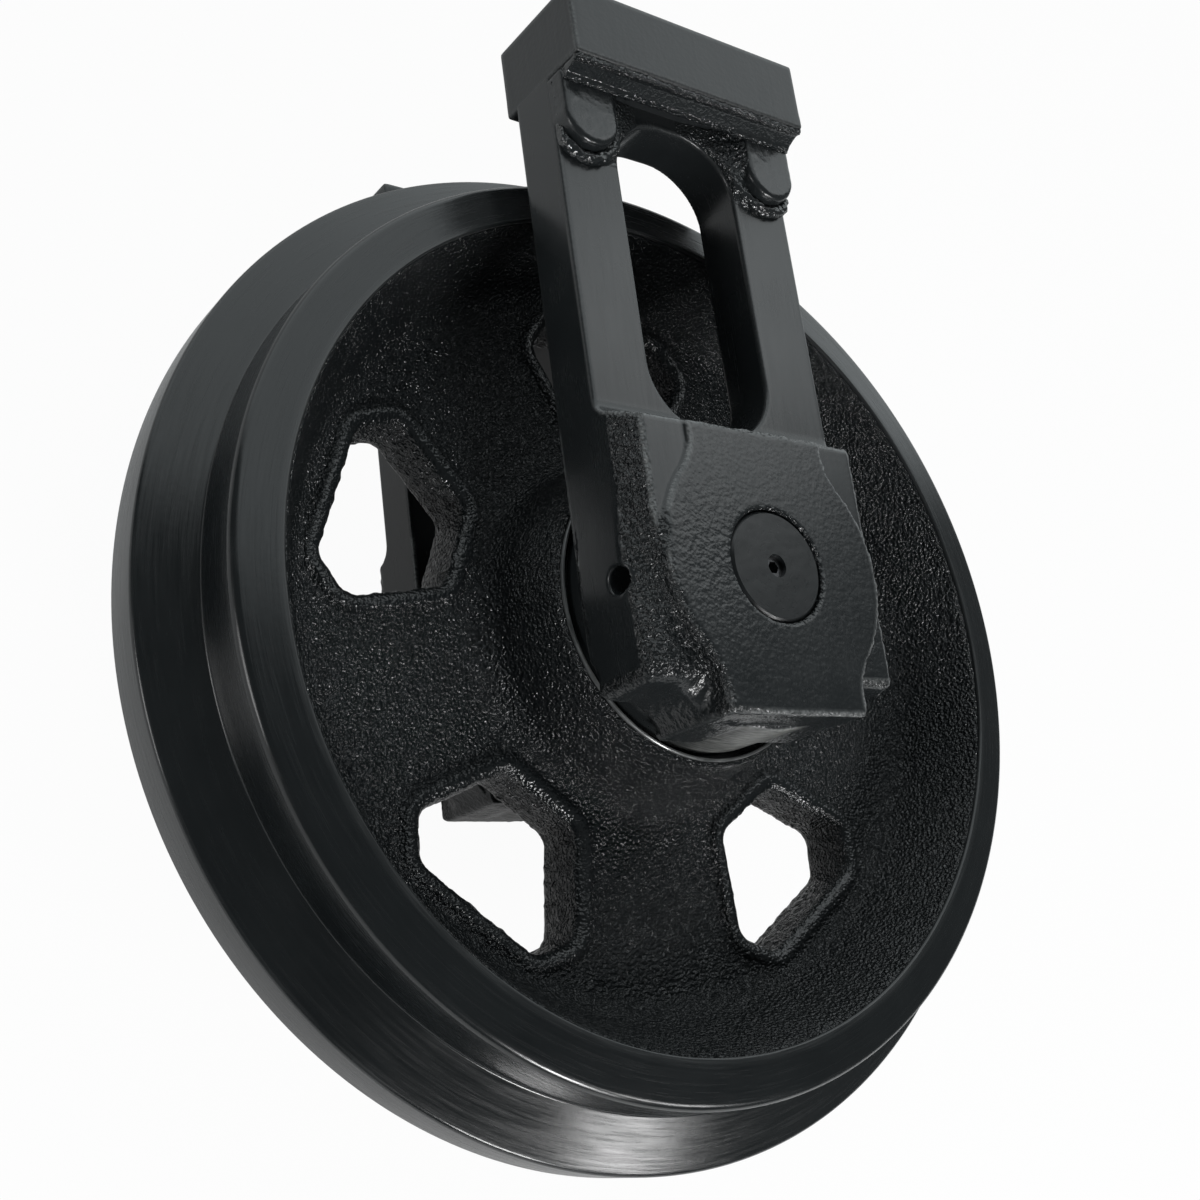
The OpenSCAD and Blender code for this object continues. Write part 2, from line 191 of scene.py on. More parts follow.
def mesh_of(name, points_mm, faces):
    mesh = bpy.data.meshes.new(name)
    points, faces = np.asarray(points_mm, float) * MM, np.asarray(faces, np.int32)
    sides = faces.shape[1]
    mesh.vertices.add(len(points))
    mesh.vertices.foreach_set("co", points.ravel())
    mesh.loops.add(faces.size)
    mesh.loops.foreach_set("vertex_index", faces.ravel())
    mesh.polygons.add(len(faces))
    mesh.polygons.foreach_set("loop_start", np.arange(0, faces.size, sides, dtype=np.int32))
    mesh.update(calc_edges=True)
    mesh.polygons.foreach_set("use_smooth", np.ones(len(faces), bool))
    mesh.validate()
    return mesh


def round_union(a, b, r):
    """Both shapes, with a fillet of radius r in the corner between them."""
    return np.maximum(r, np.minimum(a, b)) - np.hypot(np.maximum(r - a, 0), np.maximum(r - b, 0))


def round_inter(a, b, r):
    """What both shapes share, with the edge rounded by radius r."""
    return np.minimum(-r, np.maximum(a, b)) + np.hypot(np.maximum(r + a, 0), np.maximum(r + b, 0))


def slab_dist(v, low, high):
    return np.maximum(low - v, v - high)


def box_2d(u, v, half_u, half_v, r):
    """Signed distance in a plane to a box with corners rounded by radius r."""
    qu, qv = np.abs(u) - half_u + r, np.abs(v) - half_v + r
    return np.hypot(np.maximum(qu, 0), np.maximum(qv, 0)) + np.minimum(np.maximum(qu, qv), 0) - r


def polygon_dist(u, v, corners):
    """Signed distance in a plane to a closed polygon."""
    u, v = np.broadcast_arrays(u, v)
    best = np.full(u.shape, np.inf)
    inside = np.zeros(u.shape, bool)
    for (ua, va), (ub, vb) in zip(corners, corners[1:] + corners[:1]):
        eu, ev = ub - ua, vb - va
        t = np.clip(((u - ua) * eu + (v - va) * ev) / (eu * eu + ev * ev), 0, 1)
        best = np.minimum(best, np.hypot(u - ua - t * eu, v - va - t * ev))
        if va != vb:
            inside ^= ((va > v) != (vb > v)) & (u < eu * (v - va) / ev + ua)
    return np.where(inside, -best, best).astype(np.float32)


def table_values(table, i, j):
    """Entries of a table at fractional rows i and columns j."""
    last_row, last_column = table.shape[0] - 1.01, table.shape[1] - 1.01
    i, j = np.clip(i, 0, last_row), np.clip(j, 0, last_column)
    i0, j0 = i.astype(np.int32), j.astype(np.int32)
    ti, tj = i - i0, j - j0
    return (
        table[i0, j0] * (1 - ti) * (1 - tj) + table[i0 + 1, j0] * ti * (1 - tj)
        + table[i0, j0 + 1] * (1 - ti) * tj + table[i0 + 1, j0 + 1] * ti * tj
    )


def step_up(v, low, high):
    """Rises smoothly from 0 at low to 1 at high."""
    t = np.clip((v - low) / (high - low), 0, 1)
    return t * t * (3 - 2 * t)


def step_down(v, low, high):
    """Falls smoothly from 1 at low to 0 at high."""
    return 1 - step_up(v, low, high)


# Outlines and sections

def arc(cu, cv, r, start, end, steps=10):
    """Points of an arc, angles in degrees."""
    turns = np.radians(np.linspace(start, end, steps + 1))
    return [(cu + r * math.cos(t), cv + r * math.sin(t)) for t in turns]


def between(a, b, steps=6):
    """Points that divide the straight line from a to b, without its ends."""
    return [tuple(p + (q - p) * k / steps for p, q in zip(a, b)) for k in range(1, steps)]


def rounded_path(corners, radii, steps=6):
    """The polygon with an arc of the given radius in place of each corner."""
    out = []
    count = len(corners)
    for i, r in enumerate(radii):
        p = np.array(corners[i], float)
        a = np.array(corners[i - 1], float) - p
        b = np.array(corners[(i + 1) % count], float) - p
        a, b = a / np.hypot(*a), b / np.hypot(*b)
        half = math.acos(max(-1, min(1, float(a @ b)))) / 2
        if r == 0:
            out.append((float(p[0]), float(p[1])))
            continue
        reach = r / math.tan(half)
        middle = p + (a + b) / np.hypot(*(a + b)) * (r / math.sin(half))
        first, last = p + a * reach - middle, p + b * reach - middle
        t0 = math.atan2(first[1], first[0])
        turn = (math.atan2(last[1], last[0]) - t0 + math.pi) % (2 * math.pi) - math.pi
        for k in range(steps + 1):
            t = t0 + turn * k / steps
            out.append((float(middle[0] + r * math.cos(t)), float(middle[1] + r * math.sin(t))))
    return out


def both_halves(half):
    """A closed section, counter-clockwise, from its half above z = 0, which runs clockwise."""
    return list(reversed(half + [(r, -z) for r, z in reversed(half[1:])]))


def revolve(name, section, count):
    """A closed ring from a section of (radius, z) points, counter-clockwise."""
    section = np.array(section)
    turns = 2 * math.pi * np.arange(count) / count
    points = np.stack([
        np.outer(np.cos(turns), section[:, 0]),
        np.outer(np.sin(turns), section[:, 0]),
        np.broadcast_to(section[:, 1], (count, len(section))),
    ], axis=-1).reshape(-1, 3)
    rows = len(section)
    i, j = np.meshgrid(np.arange(count), np.arange(rows), indexing="ij")
    i2, j2 = (i + 1) % count, (j + 1) % rows
    faces = np.stack([i * rows + j, i2 * rows + j, i2 * rows + j2, i * rows + j2], -1).reshape(-1, 4)
    return mesh_of(name, points, faces)


# Finished meshes

def points_of(mesh):
    co = np.empty(3 * len(mesh.vertices))
    mesh.vertices.foreach_get("co", co)
    return co.reshape(-1, 3) / MM


def set_points(mesh, points_mm):
    mesh.vertices.foreach_set("co", (points_mm * MM).ravel())
    mesh.update()


def normals_of(mesh):
    n = np.empty(3 * len(mesh.vertices))
    mesh.vertices.foreach_get("normal", n)
    return n.reshape(-1, 3)


def mirrored(name, mesh):
    """A copy of the mesh on the far side of the wheel."""
    copy = mesh.copy()
    copy.name = name
    copy.transform(Matrix.Diagonal((1, 1, -1, 1)))
    copy.flip_normals()
    return copy


def add_value(mesh, name, values):
    """Gives each vertex a number for the materials to read, one for all or one for each."""
    layer = mesh.attributes.new(name, "FLOAT", "POINT")
    layer.data.foreach_set("value", np.asarray(np.zeros(len(mesh.vertices)) + values, np.float32))


def uneven(points, layers):
    """Smooth noise summed over layers of (height, width of the lumps, seed), in millimetres."""
    total = np.zeros(len(points))
    for height, width, seed in layers:
        shift = Vector([seed * v for v in SEED_SHIFT])
        total += height * np.array([noise.noise(Vector(p) / width + shift) for p in points])
    return total


def push(mesh, amounts):
    """Moves each vertex along its normal, in millimetres."""
    set_points(mesh, points_of(mesh) + normals_of(mesh) * np.asarray(amounts)[:, None])


def keep_below(mesh, z_mm):
    points = points_of(mesh)
    points[:, 2] = np.minimum(points[:, 2], z_mm)
    set_points(mesh, points)


def worn_edges(mesh, low, high):
    """From 0 to 1 where the surface turns sharply outwards, curvature in 1/mm."""
    p, n = points_of(mesh), normals_of(mesh)
    ends = np.empty(2 * len(mesh.edges), np.int32)
    mesh.edges.foreach_get("vertices", ends)
    a, b = ends.reshape(-1, 2).T
    along = p[b] - p[a]
    square = np.maximum(np.einsum("ij,ij->i", along, along), 1e-6)
    bend = np.einsum("ij,ij->i", n[b] - n[a], along) / square
    most = np.zeros(len(p))
    np.maximum.at(most, a, bend)
    np.maximum.at(most, b, bend)
    return step_up(most, low, high)


def piece(name, mesh, body, material, node):
    obj = bpy.data.objects.new(name, mesh)
    bpy.context.scene.collection.objects.link(obj)
    mesh.materials.clear()
    mesh.materials.append(material)
    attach(obj, body)
    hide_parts(node)


# Materials

class Nodes:
    """Short way to write the node tree of a material or a world."""

    def __init__(self, owner):
        owner.use_nodes = True
        self.tree = owner.node_tree

    def add(self, kind, **values):
        node = self.tree.nodes.new(kind)
        for key, value in values.items():
            if key in node.inputs:
                node.inputs[key].default_value = value
            else:
                setattr(node, key, value)
        return node

    def link(self, a, b):
        self.tree.links.new(a, b)

    def feed(self, value, socket):
        """Sets a plain number on the socket, or links an output to it."""
        if isinstance(value, (int, float)):
            socket.default_value = value
        else:
            self.link(value, socket)

    def math(self, operation, *values):
        node = self.add("ShaderNodeMath", operation=operation)
        for socket, value in zip(node.inputs, values):
            self.feed(value, socket)
        return node.outputs[0]

    def spread(self, value, low, high, start=0.3, end=0.7, curve="LINEAR"):
        """Maps a value from start to end, which a noise seldom leaves, onto low to high."""
        limits = {"From Min": start, "From Max": end, "To Min": low, "To Max": high}
        node = self.add("ShaderNodeMapRange", interpolation_type=curve, **limits)
        self.link(value, node.inputs["Value"])
        return node.outputs["Result"]

    def tint(self, factor, dark, light):
        node = self.add("ShaderNodeMix", data_type="RGBA")
        node.inputs["A"].default_value = (*dark, 1)
        node.inputs["B"].default_value = (*light, 1)
        self.link(factor, node.inputs["Factor"])
        return node.outputs["Result"]


class Paint(Nodes):
    """Node tree of a new material."""

    def __init__(self, name):
        self.material = bpy.data.materials.new(name)
        super().__init__(self.material)
        self.shader = self.tree.nodes["Principled BSDF"]

    def place(self):
        return self.add("ShaderNodeTexCoord").outputs["Object"]

    def value(self, name):
        """A number that the mesh holds, 0 where it has none."""
        node = self.add("ShaderNodeAttribute", attribute_type="GEOMETRY", attribute_name=name)
        return node.outputs["Fac"]

    def noise(self, vector, scale, detail=3.0, roughness=0.6):
        node = self.add("ShaderNodeTexNoise", Scale=scale, Detail=detail, Roughness=roughness)
        self.link(vector, node.inputs["Vector"])
        return node.outputs["Fac"]

    def marks(self, vector, detail):
        """Noise on coordinates that are stretched already, for tool marks."""
        return self.noise(vector, scale=1.0, detail=detail)

    def over(self, color, factor, top):
        """Lays a second colour over the first."""
        node = self.add("ShaderNodeMix", data_type="RGBA")
        node.inputs["B"].default_value = (*top, 1)
        self.link(color, node.inputs["A"])
        self.link(factor, node.inputs["Factor"])
        return node.outputs["Result"]

    def stretched(self, place, scale):
        node = self.add("ShaderNodeVectorMath", operation="MULTIPLY")
        self.link(place, node.inputs[0])
        node.inputs[1].default_value = scale
        return node.outputs[0]

    def turned(self, place, across, along):
        """Coordinates that stretch a texture round the axle, for turned marks."""
        split = self.add("ShaderNodeSeparateXYZ")
        self.link(place, split.inputs[0])
        flat = self.add("ShaderNodeCombineXYZ")
        self.link(split.outputs["X"], flat.inputs["X"])
        self.link(split.outputs["Y"], flat.inputs["Y"])
        length = self.add("ShaderNodeVectorMath", operation="LENGTH")
        self.link(flat.outputs[0], length.inputs[0])
        around = self.add("ShaderNodeVectorMath", operation="NORMALIZE")
        self.link(flat.outputs[0], around.inputs[0])
        side = self.add("ShaderNodeSeparateXYZ")
        self.link(around.outputs[0], side.inputs[0])
        radial = self.math("ADD", length.outputs["Value"], split.outputs["Z"])
        out = self.add("ShaderNodeCombineXYZ")
        self.link(self.math("MULTIPLY", radial, across), out.inputs["X"])
        self.link(self.math("MULTIPLY", side.outputs["X"], along), out.inputs["Y"])
        self.link(self.math("MULTIPLY", side.outputs["Y"], along), out.inputs["Z"])
        return out.outputs[0]

    def bump(self, height, distance, strength, below=None):
        node = self.add("ShaderNodeBump", Distance=distance)
        self.link(height, node.inputs["Height"])
        self.feed(strength, node.inputs["Strength"])
        if below is not None:
            self.link(below, node.inputs["Normal"])
        return node.outputs["Normal"]

    def patchy(self, dark, light, scale):
        """Colour that drifts between two tones in soft patches."""
        return self.tint(self.spread(self.noise(self.place(), scale), 0, 1), dark, light)

    def finish(self, color, roughness, normal):
        self.link(color, self.shader.inputs["Base Color"])
        self.link(roughness, self.shader.inputs["Roughness"])
        self.link(normal, self.shader.inputs["Normal"])
        return self.material


BLACK = (0.0072, 0.0088, 0.0096)
BLACK_LIGHT = (0.0112, 0.0132, 0.0141)
SATIN_BLACK = (0.0145, 0.0170, 0.0182)
SATIN_BLACK_LIGHT = (0.0205, 0.0232, 0.0244)
WORN = (0.190, 0.196, 0.196)
# Bare turned metal, partly a painted highlight where it is laid on the collar
TURNED_BARE_AND_SHEEN = (0.270, 0.275, 0.262)
STEEL_DARK, STEEL_LIGHT = (0.10, 0.10, 0.105), (0.17, 0.17, 0.175)
IRON_DARK, IRON_LIGHT = (0.36, 0.36, 0.37), (0.50, 0.50, 0.51)
BRONZE_DARK, BRONZE_LIGHT = (0.42, 0.27, 0.11), (0.56, 0.38, 0.17)
RUBBER_DARK, RUBBER_LIGHT = (0.010, 0.010, 0.010), (0.022, 0.021, 0.020)

# Bracket's paint: strength of each relief where the skin is cast and where it is milled
CAST_PEEL, MILLED_PEEL = 0.9, 0.006
CAST_GRAIN, MILLED_GRAIN = 0.6, 0.004
LATHE_RELIEF = 0.5
CAST_DARKNESS = 0.8
LATHE_ROUGHNESS = 0.15
MATTE_ROUGHNESS = 0.16
WELD_SPECULAR = 0.8


def cast_paint():
    """Sand-cast skin: sharp grains on soft lumps."""
    n = Paint("cast_black_paint")
    place = n.place()
    grain = n.noise(place, scale=690, detail=1.0, roughness=0.45)
    lumps = n.noise(place, scale=190, detail=1.0, roughness=0.5)
    normal = n.bump(lumps, distance=0.0010, strength=0.35)
    normal = n.bump(grain, distance=0.0026, strength=n.value("grainy"), below=normal)
    color = n.patchy(BLACK, BLACK_LIGHT, scale=28)
    return n.finish(color, n.spread(lumps, low=0.10, high=0.20), normal)


def turned_paint():
    """Painted over turning marks, and worn through where the value wear says so."""
    n = Paint("turned_black_paint")
    place = n.place()
    marks = n.marks(n.turned(place, across=1300, along=7), detail=3)
    peel = n.noise(place, scale=260, detail=1.0)
    normal = n.bump(peel, distance=0.0002, strength=0.10)
    normal = n.bump(marks, distance=0.0003, strength=0.26, below=normal)
    color = n.patchy(BLACK, BLACK_LIGHT, scale=22)
    worn = n.math("MULTIPLY", n.value("wear"), n.spread(marks, low=0.2, high=1.0))
    color = n.over(color, worn, WORN)
    return n.finish(color, n.spread(marks, low=0.15, high=0.31), normal)


def bracket_paint():
    """Milled where the cast and turned values are 0, sand-cast where cast is 1, turned where the turned value
    is 1, whose bare colour is partly a painted highlight.
    """
    n = Paint("bracket_black_paint")
    place = n.place()
    cast, turning_and_sheen, wear, matte = (n.value(name) for name in ("cast", "turning_and_sheen", "wear", "matte"))
    peel = n.noise(place, scale=420, detail=1.0, roughness=0.5)
    grain = n.noise(place, scale=760, detail=1.0, roughness=0.5)
    patches = n.noise(place, scale=30)
    marks = n.marks(n.turned(place, across=900, along=7), detail=2)
    brushed = n.marks(n.stretched(place, (800, 30, 800)), detail=2)
    normal = n.bump(brushed, distance=0.0001, strength=0.08)
    peel_depth = n.math("MULTIPLY_ADD", cast, CAST_PEEL, MILLED_PEEL)
    normal = n.bump(peel, distance=0.0026, strength=peel_depth, below=normal)
    grain_depth = n.math("MULTIPLY_ADD", cast, CAST_GRAIN, MILLED_GRAIN)
    normal = n.bump(grain, distance=0.0012, strength=grain_depth, below=normal)
    marks_depth = n.math("MULTIPLY", turning_and_sheen, LATHE_RELIEF)
    normal = n.bump(marks, distance=0.0008, strength=marks_depth, below=normal)
    color = n.tint(n.spread(patches, 0, 1), SATIN_BLACK, SATIN_BLACK_LIGHT)
    color = n.over(color, n.math("MULTIPLY", cast, CAST_DARKNESS), BLACK)
    color = n.over(color, n.math("MULTIPLY", wear, n.spread(grain, low=0.3, high=1.0)), WORN)
    # Bare turned metal on the collar, partly a painted highlight of its sheen
    color = n.over(color, n.math("MULTIPLY", turning_and_sheen, n.spread(marks, low=0.0, high=1.0)), TURNED_BARE_AND_SHEEN)
    rough = n.math("MULTIPLY_ADD", turning_and_sheen, LATHE_ROUGHNESS, n.spread(brushed, low=0.19, high=0.25))
    rough = n.math("ADD", rough, n.spread(patches, low=0.0, high=0.05))
    rough = n.math("MULTIPLY_ADD", matte, MATTE_ROUGHNESS, rough)
    return n.finish(color, rough, normal)


def weld_paint():
    """Glossy paint, on rough metal where the value grainy is 1."""
    n = Paint("weld_black_paint")
    grain = n.noise(n.place(), scale=700, detail=1.0, roughness=0.5)
    normal = n.bump(grain, distance=0.0022, strength=n.value("grainy"))
    color = n.patchy(SATIN_BLACK, SATIN_BLACK_LIGHT, scale=60)
    n.shader.inputs["Specular IOR Level"].default_value = WELD_SPECULAR
    return n.finish(color, n.spread(grain, low=0.08, high=0.17), normal)


def shaft_paint():
    n = Paint("shaft_black_paint")
    place = n.place()
    marks = n.marks(n.turned(place, across=1500, along=6), detail=3)
    peel = n.noise(place, scale=160, detail=1.0, roughness=0.5)
    normal = n.bump(peel, distance=0.0005, strength=0.22)
    normal = n.bump(marks, distance=0.0002, strength=0.12, below=normal)
    color = n.patchy(BLACK, BLACK_LIGHT, scale=50)
    return n.finish(color, n.spread(marks, low=0.26, high=0.38), normal)


def turned_metal(name, dark, light, rough_low, rough_high):
    n = Paint(name)
    marks = n.marks(n.turned(n.place(), across=1400, along=5), detail=3)
    n.shader.inputs["Metallic"].default_value = 1.0
    normal = n.bump(marks, distance=0.0002, strength=0.2)
    return n.finish(n.patchy(dark, light, scale=55), n.spread(marks, rough_low, rough_high), normal)


def rubber():
    n = Paint("nitrile_rubber")
    grain = n.noise(n.place(), scale=900)
    normal = n.bump(grain, distance=0.0001, strength=0.2)
    color = n.patchy(RUBBER_DARK, RUBBER_LIGHT, scale=40)
    return n.finish(color, n.spread(grain, low=0.55, high=0.75), normal)


CAST = cast_paint()
TURNED = turned_paint()
BRACKET = bracket_paint()
WELD = weld_paint()
SHAFT = shaft_paint()
STEEL = turned_metal("dark_steel", STEEL_DARK, STEEL_LIGHT, rough_low=0.25, rough_high=0.42)
SEAL = turned_metal("lapped_iron", IRON_DARK, IRON_LIGHT, rough_low=0.16, rough_high=0.30)
BRONZE = turned_metal("turned_bronze", BRONZE_DARK, BRONZE_LIGHT, rough_low=0.22, rough_high=0.38)
RUBBER = rubber()

# Solids that are shown as they are, by the ending of their names
NODE_MATERIALS = {
    "axle_shaft": SHAFT, "oil_plug": STEEL, "lock_pin": STEEL, "bush": BRONZE,
    "seal_ring": SEAL, "toric_ring": RUBBER, "shaft_oring": RUBBER,
}
for node_name, node in frame["nodes"].items():
    for ending, material in NODE_MATERIALS.items():
        if node_name.endswith(ending):
            node.data.materials.clear()
            node.data.materials.append(material)


# Wheel

RIM_SEGMENTS = 288
RIM_INNER_ROUND = 1.2
RIM_INNER_DROP = 1.4
RIM_WALL_DROP = 4.0
RIM_WEAR = 0.15
HUB_WEAR = 1.0
TREAD_EDGE_W = 12.0
TREAD_FOOT_W = 8.0
FLANGE_FOOT_ROUND = 1.5
HUB_SEGMENTS = 192
HUB_END_W = 1.5
HUB_END_EDGE = 0.4
HUB_WALL_H = 12.0
SHARP_TURN = 32.0
TURNED_WEAR_BEND = (0.3, 0.6)

# The casting runs in under the machined hub and rim, and past the wheel's middle plane
CAST_INNER_R = GUARD_RECESS_R + 1.0
CAST_BELOW_Z = -20.0
CAST_HUB_DROP = 1.2
CAST_HUB_EDGE_IN = 0.2
CAST_HUB_EDGE_DROP = 3.2
CAST_RIM_IN = 0.5
CAST_RIM_DROP = 1.0
CAST_RIM_TUCK_W = 6.0
CAST_RIM_TUCK_H = 8.0
CAST_STEP = 1.4
CAST_TABLE_STEP = 0.5
CAST_TABLE_R = (40.0, 300.0)
CAST_MARGIN = 4.0
WINDOW_DRAFT = 0.07
WINDOW_EDGE = 4.5
LIP_EDGE = 2.6
LIP_FILLET = 2.2

# Stretches over which the cast skin changes, in millimetres, or as a share of z in a normal
HUB_FADE_R = (HUB_R + 2, HUB_R + 8)
RIM_FADE_Z = (RIM_Z, RIM_Z + 3)
WINDOW_START_R = (WINDOW_INNER - 8, WINDOW_INNER - 4)
WINDOW_END_R = (WINDOW_OUTER + 1, WINDOW_OUTER + 5)
WALL_TILT = (0.4, 0.7)
LIP_MIDDLE = 3.0
LIP_FADE = (2.0, 5.0)
LIP_RISE_Z = (LIP_Z - 4, LIP_Z - 2)
LIP_SMOOTHNESS = 0.65


def rim_section():
    """Machined rim: the two treads, the flange and the smooth rim faces."""
    face_a = math.degrees(math.atan2(RIM_INNER_Z - RIM_Z, TREAD_R - RIM_INNER_R))
    flange_a = math.degrees(math.atan2(FLANGE_R - TREAD_R, FLANGE_FOOT_Z - FLANGE_HALF_W))
    inner_r, inner_z = RIM_INNER_R + RIM_INNER_ROUND, RIM_INNER_Z - RIM_INNER_DROP
    inner = arc(inner_r, inner_z, RIM_INNER_ROUND, 180, 90 - face_a, steps=4)
    corner_z = RIM_Z - RIM_ROUND + RIM_ROUND * math.tan(math.radians(face_a))
    corner = arc(TREAD_R - RIM_ROUND, corner_z, RIM_ROUND, 90 - face_a, 0)
    tread = [(TREAD_R, RIM_Z - TREAD_EDGE_W), (TREAD_R, FLANGE_FOOT_Z + TREAD_FOOT_W)]
    foot = rounded_path(
        [(TREAD_R, RIM_Z), (TREAD_R, FLANGE_FOOT_Z), (FLANGE_R, FLANGE_HALF_W)], [0, FLANGE_FOOT_ROUND, 0]
    )[1:-1]
    crest = arc(FLANGE_R - FLANGE_ROUND, FLANGE_HALF_W - FLANGE_ROUND, FLANGE_ROUND, flange_a, 0, steps=8)
    wall = [(RIM_INNER_R, 0), (RIM_INNER_R, RIM_INNER_Z - RIM_WALL_DROP)]
    return both_halves(
        wall + inner + between(inner[-1], corner[0]) + corner + tread + foot
        + between(foot[-1], crest[0]) + crest
    )


def hub_section():
    """Machined hub: its end faces, guard recesses, seal pockets and bush bores."""
    end_r = GUARD_RECESS_R + HUB_END_W
    return both_halves([
        (OIL_CHAMBER_R, 0), (OIL_CHAMBER_R, OIL_CHAMBER_HALF_W), (BUSH_R, OIL_CHAMBER_HALF_W),
        (BUSH_R, BUSH_SEAT_Z), (SEAL_POCKET_R, BUSH_SEAT_Z), (SEAL_POCKET_R, GUARD_RECESS_Z),
        (GUARD_RECESS_R, GUARD_RECESS_Z), (GUARD_RECESS_R, HUB_Z - HUB_END_EDGE),
        (GUARD_RECESS_R + HUB_END_EDGE, HUB_Z), (end_r - HUB_END_EDGE, HUB_Z),
        (end_r, HUB_Z - HUB_END_EDGE), (end_r, HUB_Z - HUB_WALL_H),
    ])


def web_profile():
    """Half section of the casting, from the hub's flank over the web to the rim's wall."""
    fillet_z = WEB_Z + WEB_FILLET
    hub_a = math.atan2(HUB_DRAFT, HUB_Z - WEB_Z)
    hub_c = HUB_R + (HUB_Z - HUB_CHAMFER - fillet_z) * math.tan(hub_a) + WEB_FILLET / math.cos(hub_a)
    rim_a = math.atan2(RIM_SLOPE_W, RIM_INNER_Z - WEB_Z)
    rim_c = RIM_INNER_R - (RIM_INNER_Z - fillet_z) * math.tan(rim_a) - WEB_FILLET / math.cos(rim_a)
    hub_top = HUB_Z - CAST_HUB_DROP
    outer_r = RIM_INNER_R + CAST_RIM_TUCK_W
    hub_end = [
        (CAST_INNER_R, CAST_BELOW_Z), (CAST_INNER_R, hub_top), (HUB_R - CAST_HUB_DROP, hub_top),
        (HUB_R - CAST_HUB_EDGE_IN, HUB_Z - CAST_HUB_EDGE_DROP),
    ]
    rim_end = [
        (RIM_INNER_R - CAST_RIM_IN, RIM_INNER_Z - CAST_RIM_DROP),
        (outer_r, RIM_INNER_Z - CAST_RIM_TUCK_H), (outer_r, CAST_BELOW_Z),
    ]
    return (
        hub_end + arc(hub_c, fillet_z, WEB_FILLET, 180 + math.degrees(hub_a), 270)
        + arc(rim_c, fillet_z, WEB_FILLET, 270, 360 - math.degrees(rim_a)) + rim_end
    )


def window_core():
    """A window's outline, drawn in by its corner radius, as (out, sideways) points."""
    inner = WINDOW_INNER + WINDOW_ROUND
    wide = WINDOW_OUTER - WINDOW_SHOULDER
    outer = WINDOW_OUTER - WINDOW_ROUND
    half = WINDOW_W / 2 - WINDOW_ROUND
    return [
        (inner, -WINDOW_INNER_W / 2), (wide, -half), (outer, -WINDOW_OUTER_W / 2),
        (outer, WINDOW_OUTER_W / 2), (wide, half), (inner, WINDOW_INNER_W / 2),
    ]


def window_dist(x, y):
    """Distance to the nearest window's outline, negative inside it."""
    sector = 2 * math.pi / WINDOW_COUNT
    turn = np.arctan2(y, x) - math.radians(90 + WINDOW_TURN)
    turn = (turn + sector / 2) % sector - sector / 2
    r = np.hypot(x, y)
    return polygon_dist(r * np.cos(turn), r * np.sin(turn), window_core()) - WINDOW_ROUND


def web_casting(f):
    """Distance to the casting, with its section sampled once and looked up by radius and height."""
    table_r = np.arange(*CAST_TABLE_R, CAST_TABLE_STEP)
    table_z = np.arange(0, HUB_Z + 2 * CAST_MARGIN, CAST_TABLE_STEP)
    table = polygon_dist(table_r[:, None], table_z[None, :], web_profile())
    r, height = np.hypot(f.x, f.y), np.abs(f.z)
    body = table_values(table, (r - table_r[0]) / CAST_TABLE_STEP, height / CAST_TABLE_STEP)
    window = window_dist(f.x, f.y)
    lip = round_inter(window - LIP_W, height - LIP_Z, LIP_EDGE)
    body = round_union(body, lip, LIP_FILLET)
    return round_inter(body, WINDOW_DRAFT * (height - LIP_Z) - window, WINDOW_EDGE)


def build_web():
    reach = RIM_INNER_R + CAST_RIM_TUCK_W
    f = Field((-reach, -reach, -HUB_Z), (reach, reach, HUB_Z), CAST_STEP, CAST_MARGIN)
    mesh = f.mesh("idler_web", web_casting(f))
    p = points_of(mesh)
    x, y, z = p.T
    r, height = np.hypot(x, y), np.abs(z)
    # Uneven skin, roughest on the windows' walls, and smooth lips
    wall = step_down(np.abs(normals_of(mesh)[:, 2]), *WALL_TILT)
    wall *= step_up(r, *WINDOW_START_R) * step_down(r, *WINDOW_END_R)
    lumps = uneven(p, WEB_LUMPS) + wall * uneven(p, WINDOW_LUMPS)
    lip = step_down(np.abs(window_dist(x, y) - LIP_MIDDLE), *LIP_FADE) * step_up(height, *LIP_RISE_Z)
    add_value(mesh, "grainy", 1 - LIP_SMOOTHNESS * lip)
    push(mesh, lumps * step_up(r, *HUB_FADE_R) * step_down(height, *RIM_FADE_Z))
    return mesh


def build_turned(name, section, segments, wear):
    mesh = revolve(name, section, segments)
    mesh.set_sharp_from_angle(angle=math.radians(SHARP_TURN))
    add_value(mesh, "wear", wear * worn_edges(mesh, *TURNED_WEAR_BEND))
    return mesh


for wheel_name, wheel_mesh, paint in (
    ("idler_web", build_web(), CAST),
    ("idler_rim", build_turned("idler_rim", rim_section(), RIM_SEGMENTS, RIM_WEAR), TURNED),
    ("idler_hub", build_turned("idler_hub", hub_section(), HUB_SEGMENTS, HUB_WEAR), TURNED),
):
    piece(wheel_name, wheel_mesh, "wheel", paint, "idler_wheel")


# Brackets

BRACKET_STEP = 0.95
BRACKET_MARGIN = (4.0, 5.0, 4.0)
ARM_END_Y = HEAD_Y + 4.0
LIMIT_MARGIN = 30.0

# Edges and fillets of the dressed bracket, in millimetres
MILLED_EDGE = 1.4
CAST_EDGE = 1.2
SLAB_BACK_EDGE = 5.0
SLAB_END_EDGE = 3.4
SLAB_CORNER_EDGE = 4.6
ARM_FILLET = 9.0
BLOCK_LOW_EDGE = 3.0
BLOCK_SIDE_EDGE = 1.5
SHOULDER_EDGE = 2.5
BOSS_SOFT_EDGE = 2.4
BOSS_FILLET = 1.0
BOSS_SOFT_FILLET = 2.8
FOOT_EDGE = 3.0
FOOT_BOSS_FILLET = 7.0
FLANK_FILLET = 10.0
COLLAR_EDGE = 0.8
COLLAR_FILLET = 0.5
COLLAR_SOFT_FILLET = 8.0
BORE_GAP = 0.2
BORE_EDGE = 0.7
PIN_EDGE = 0.5

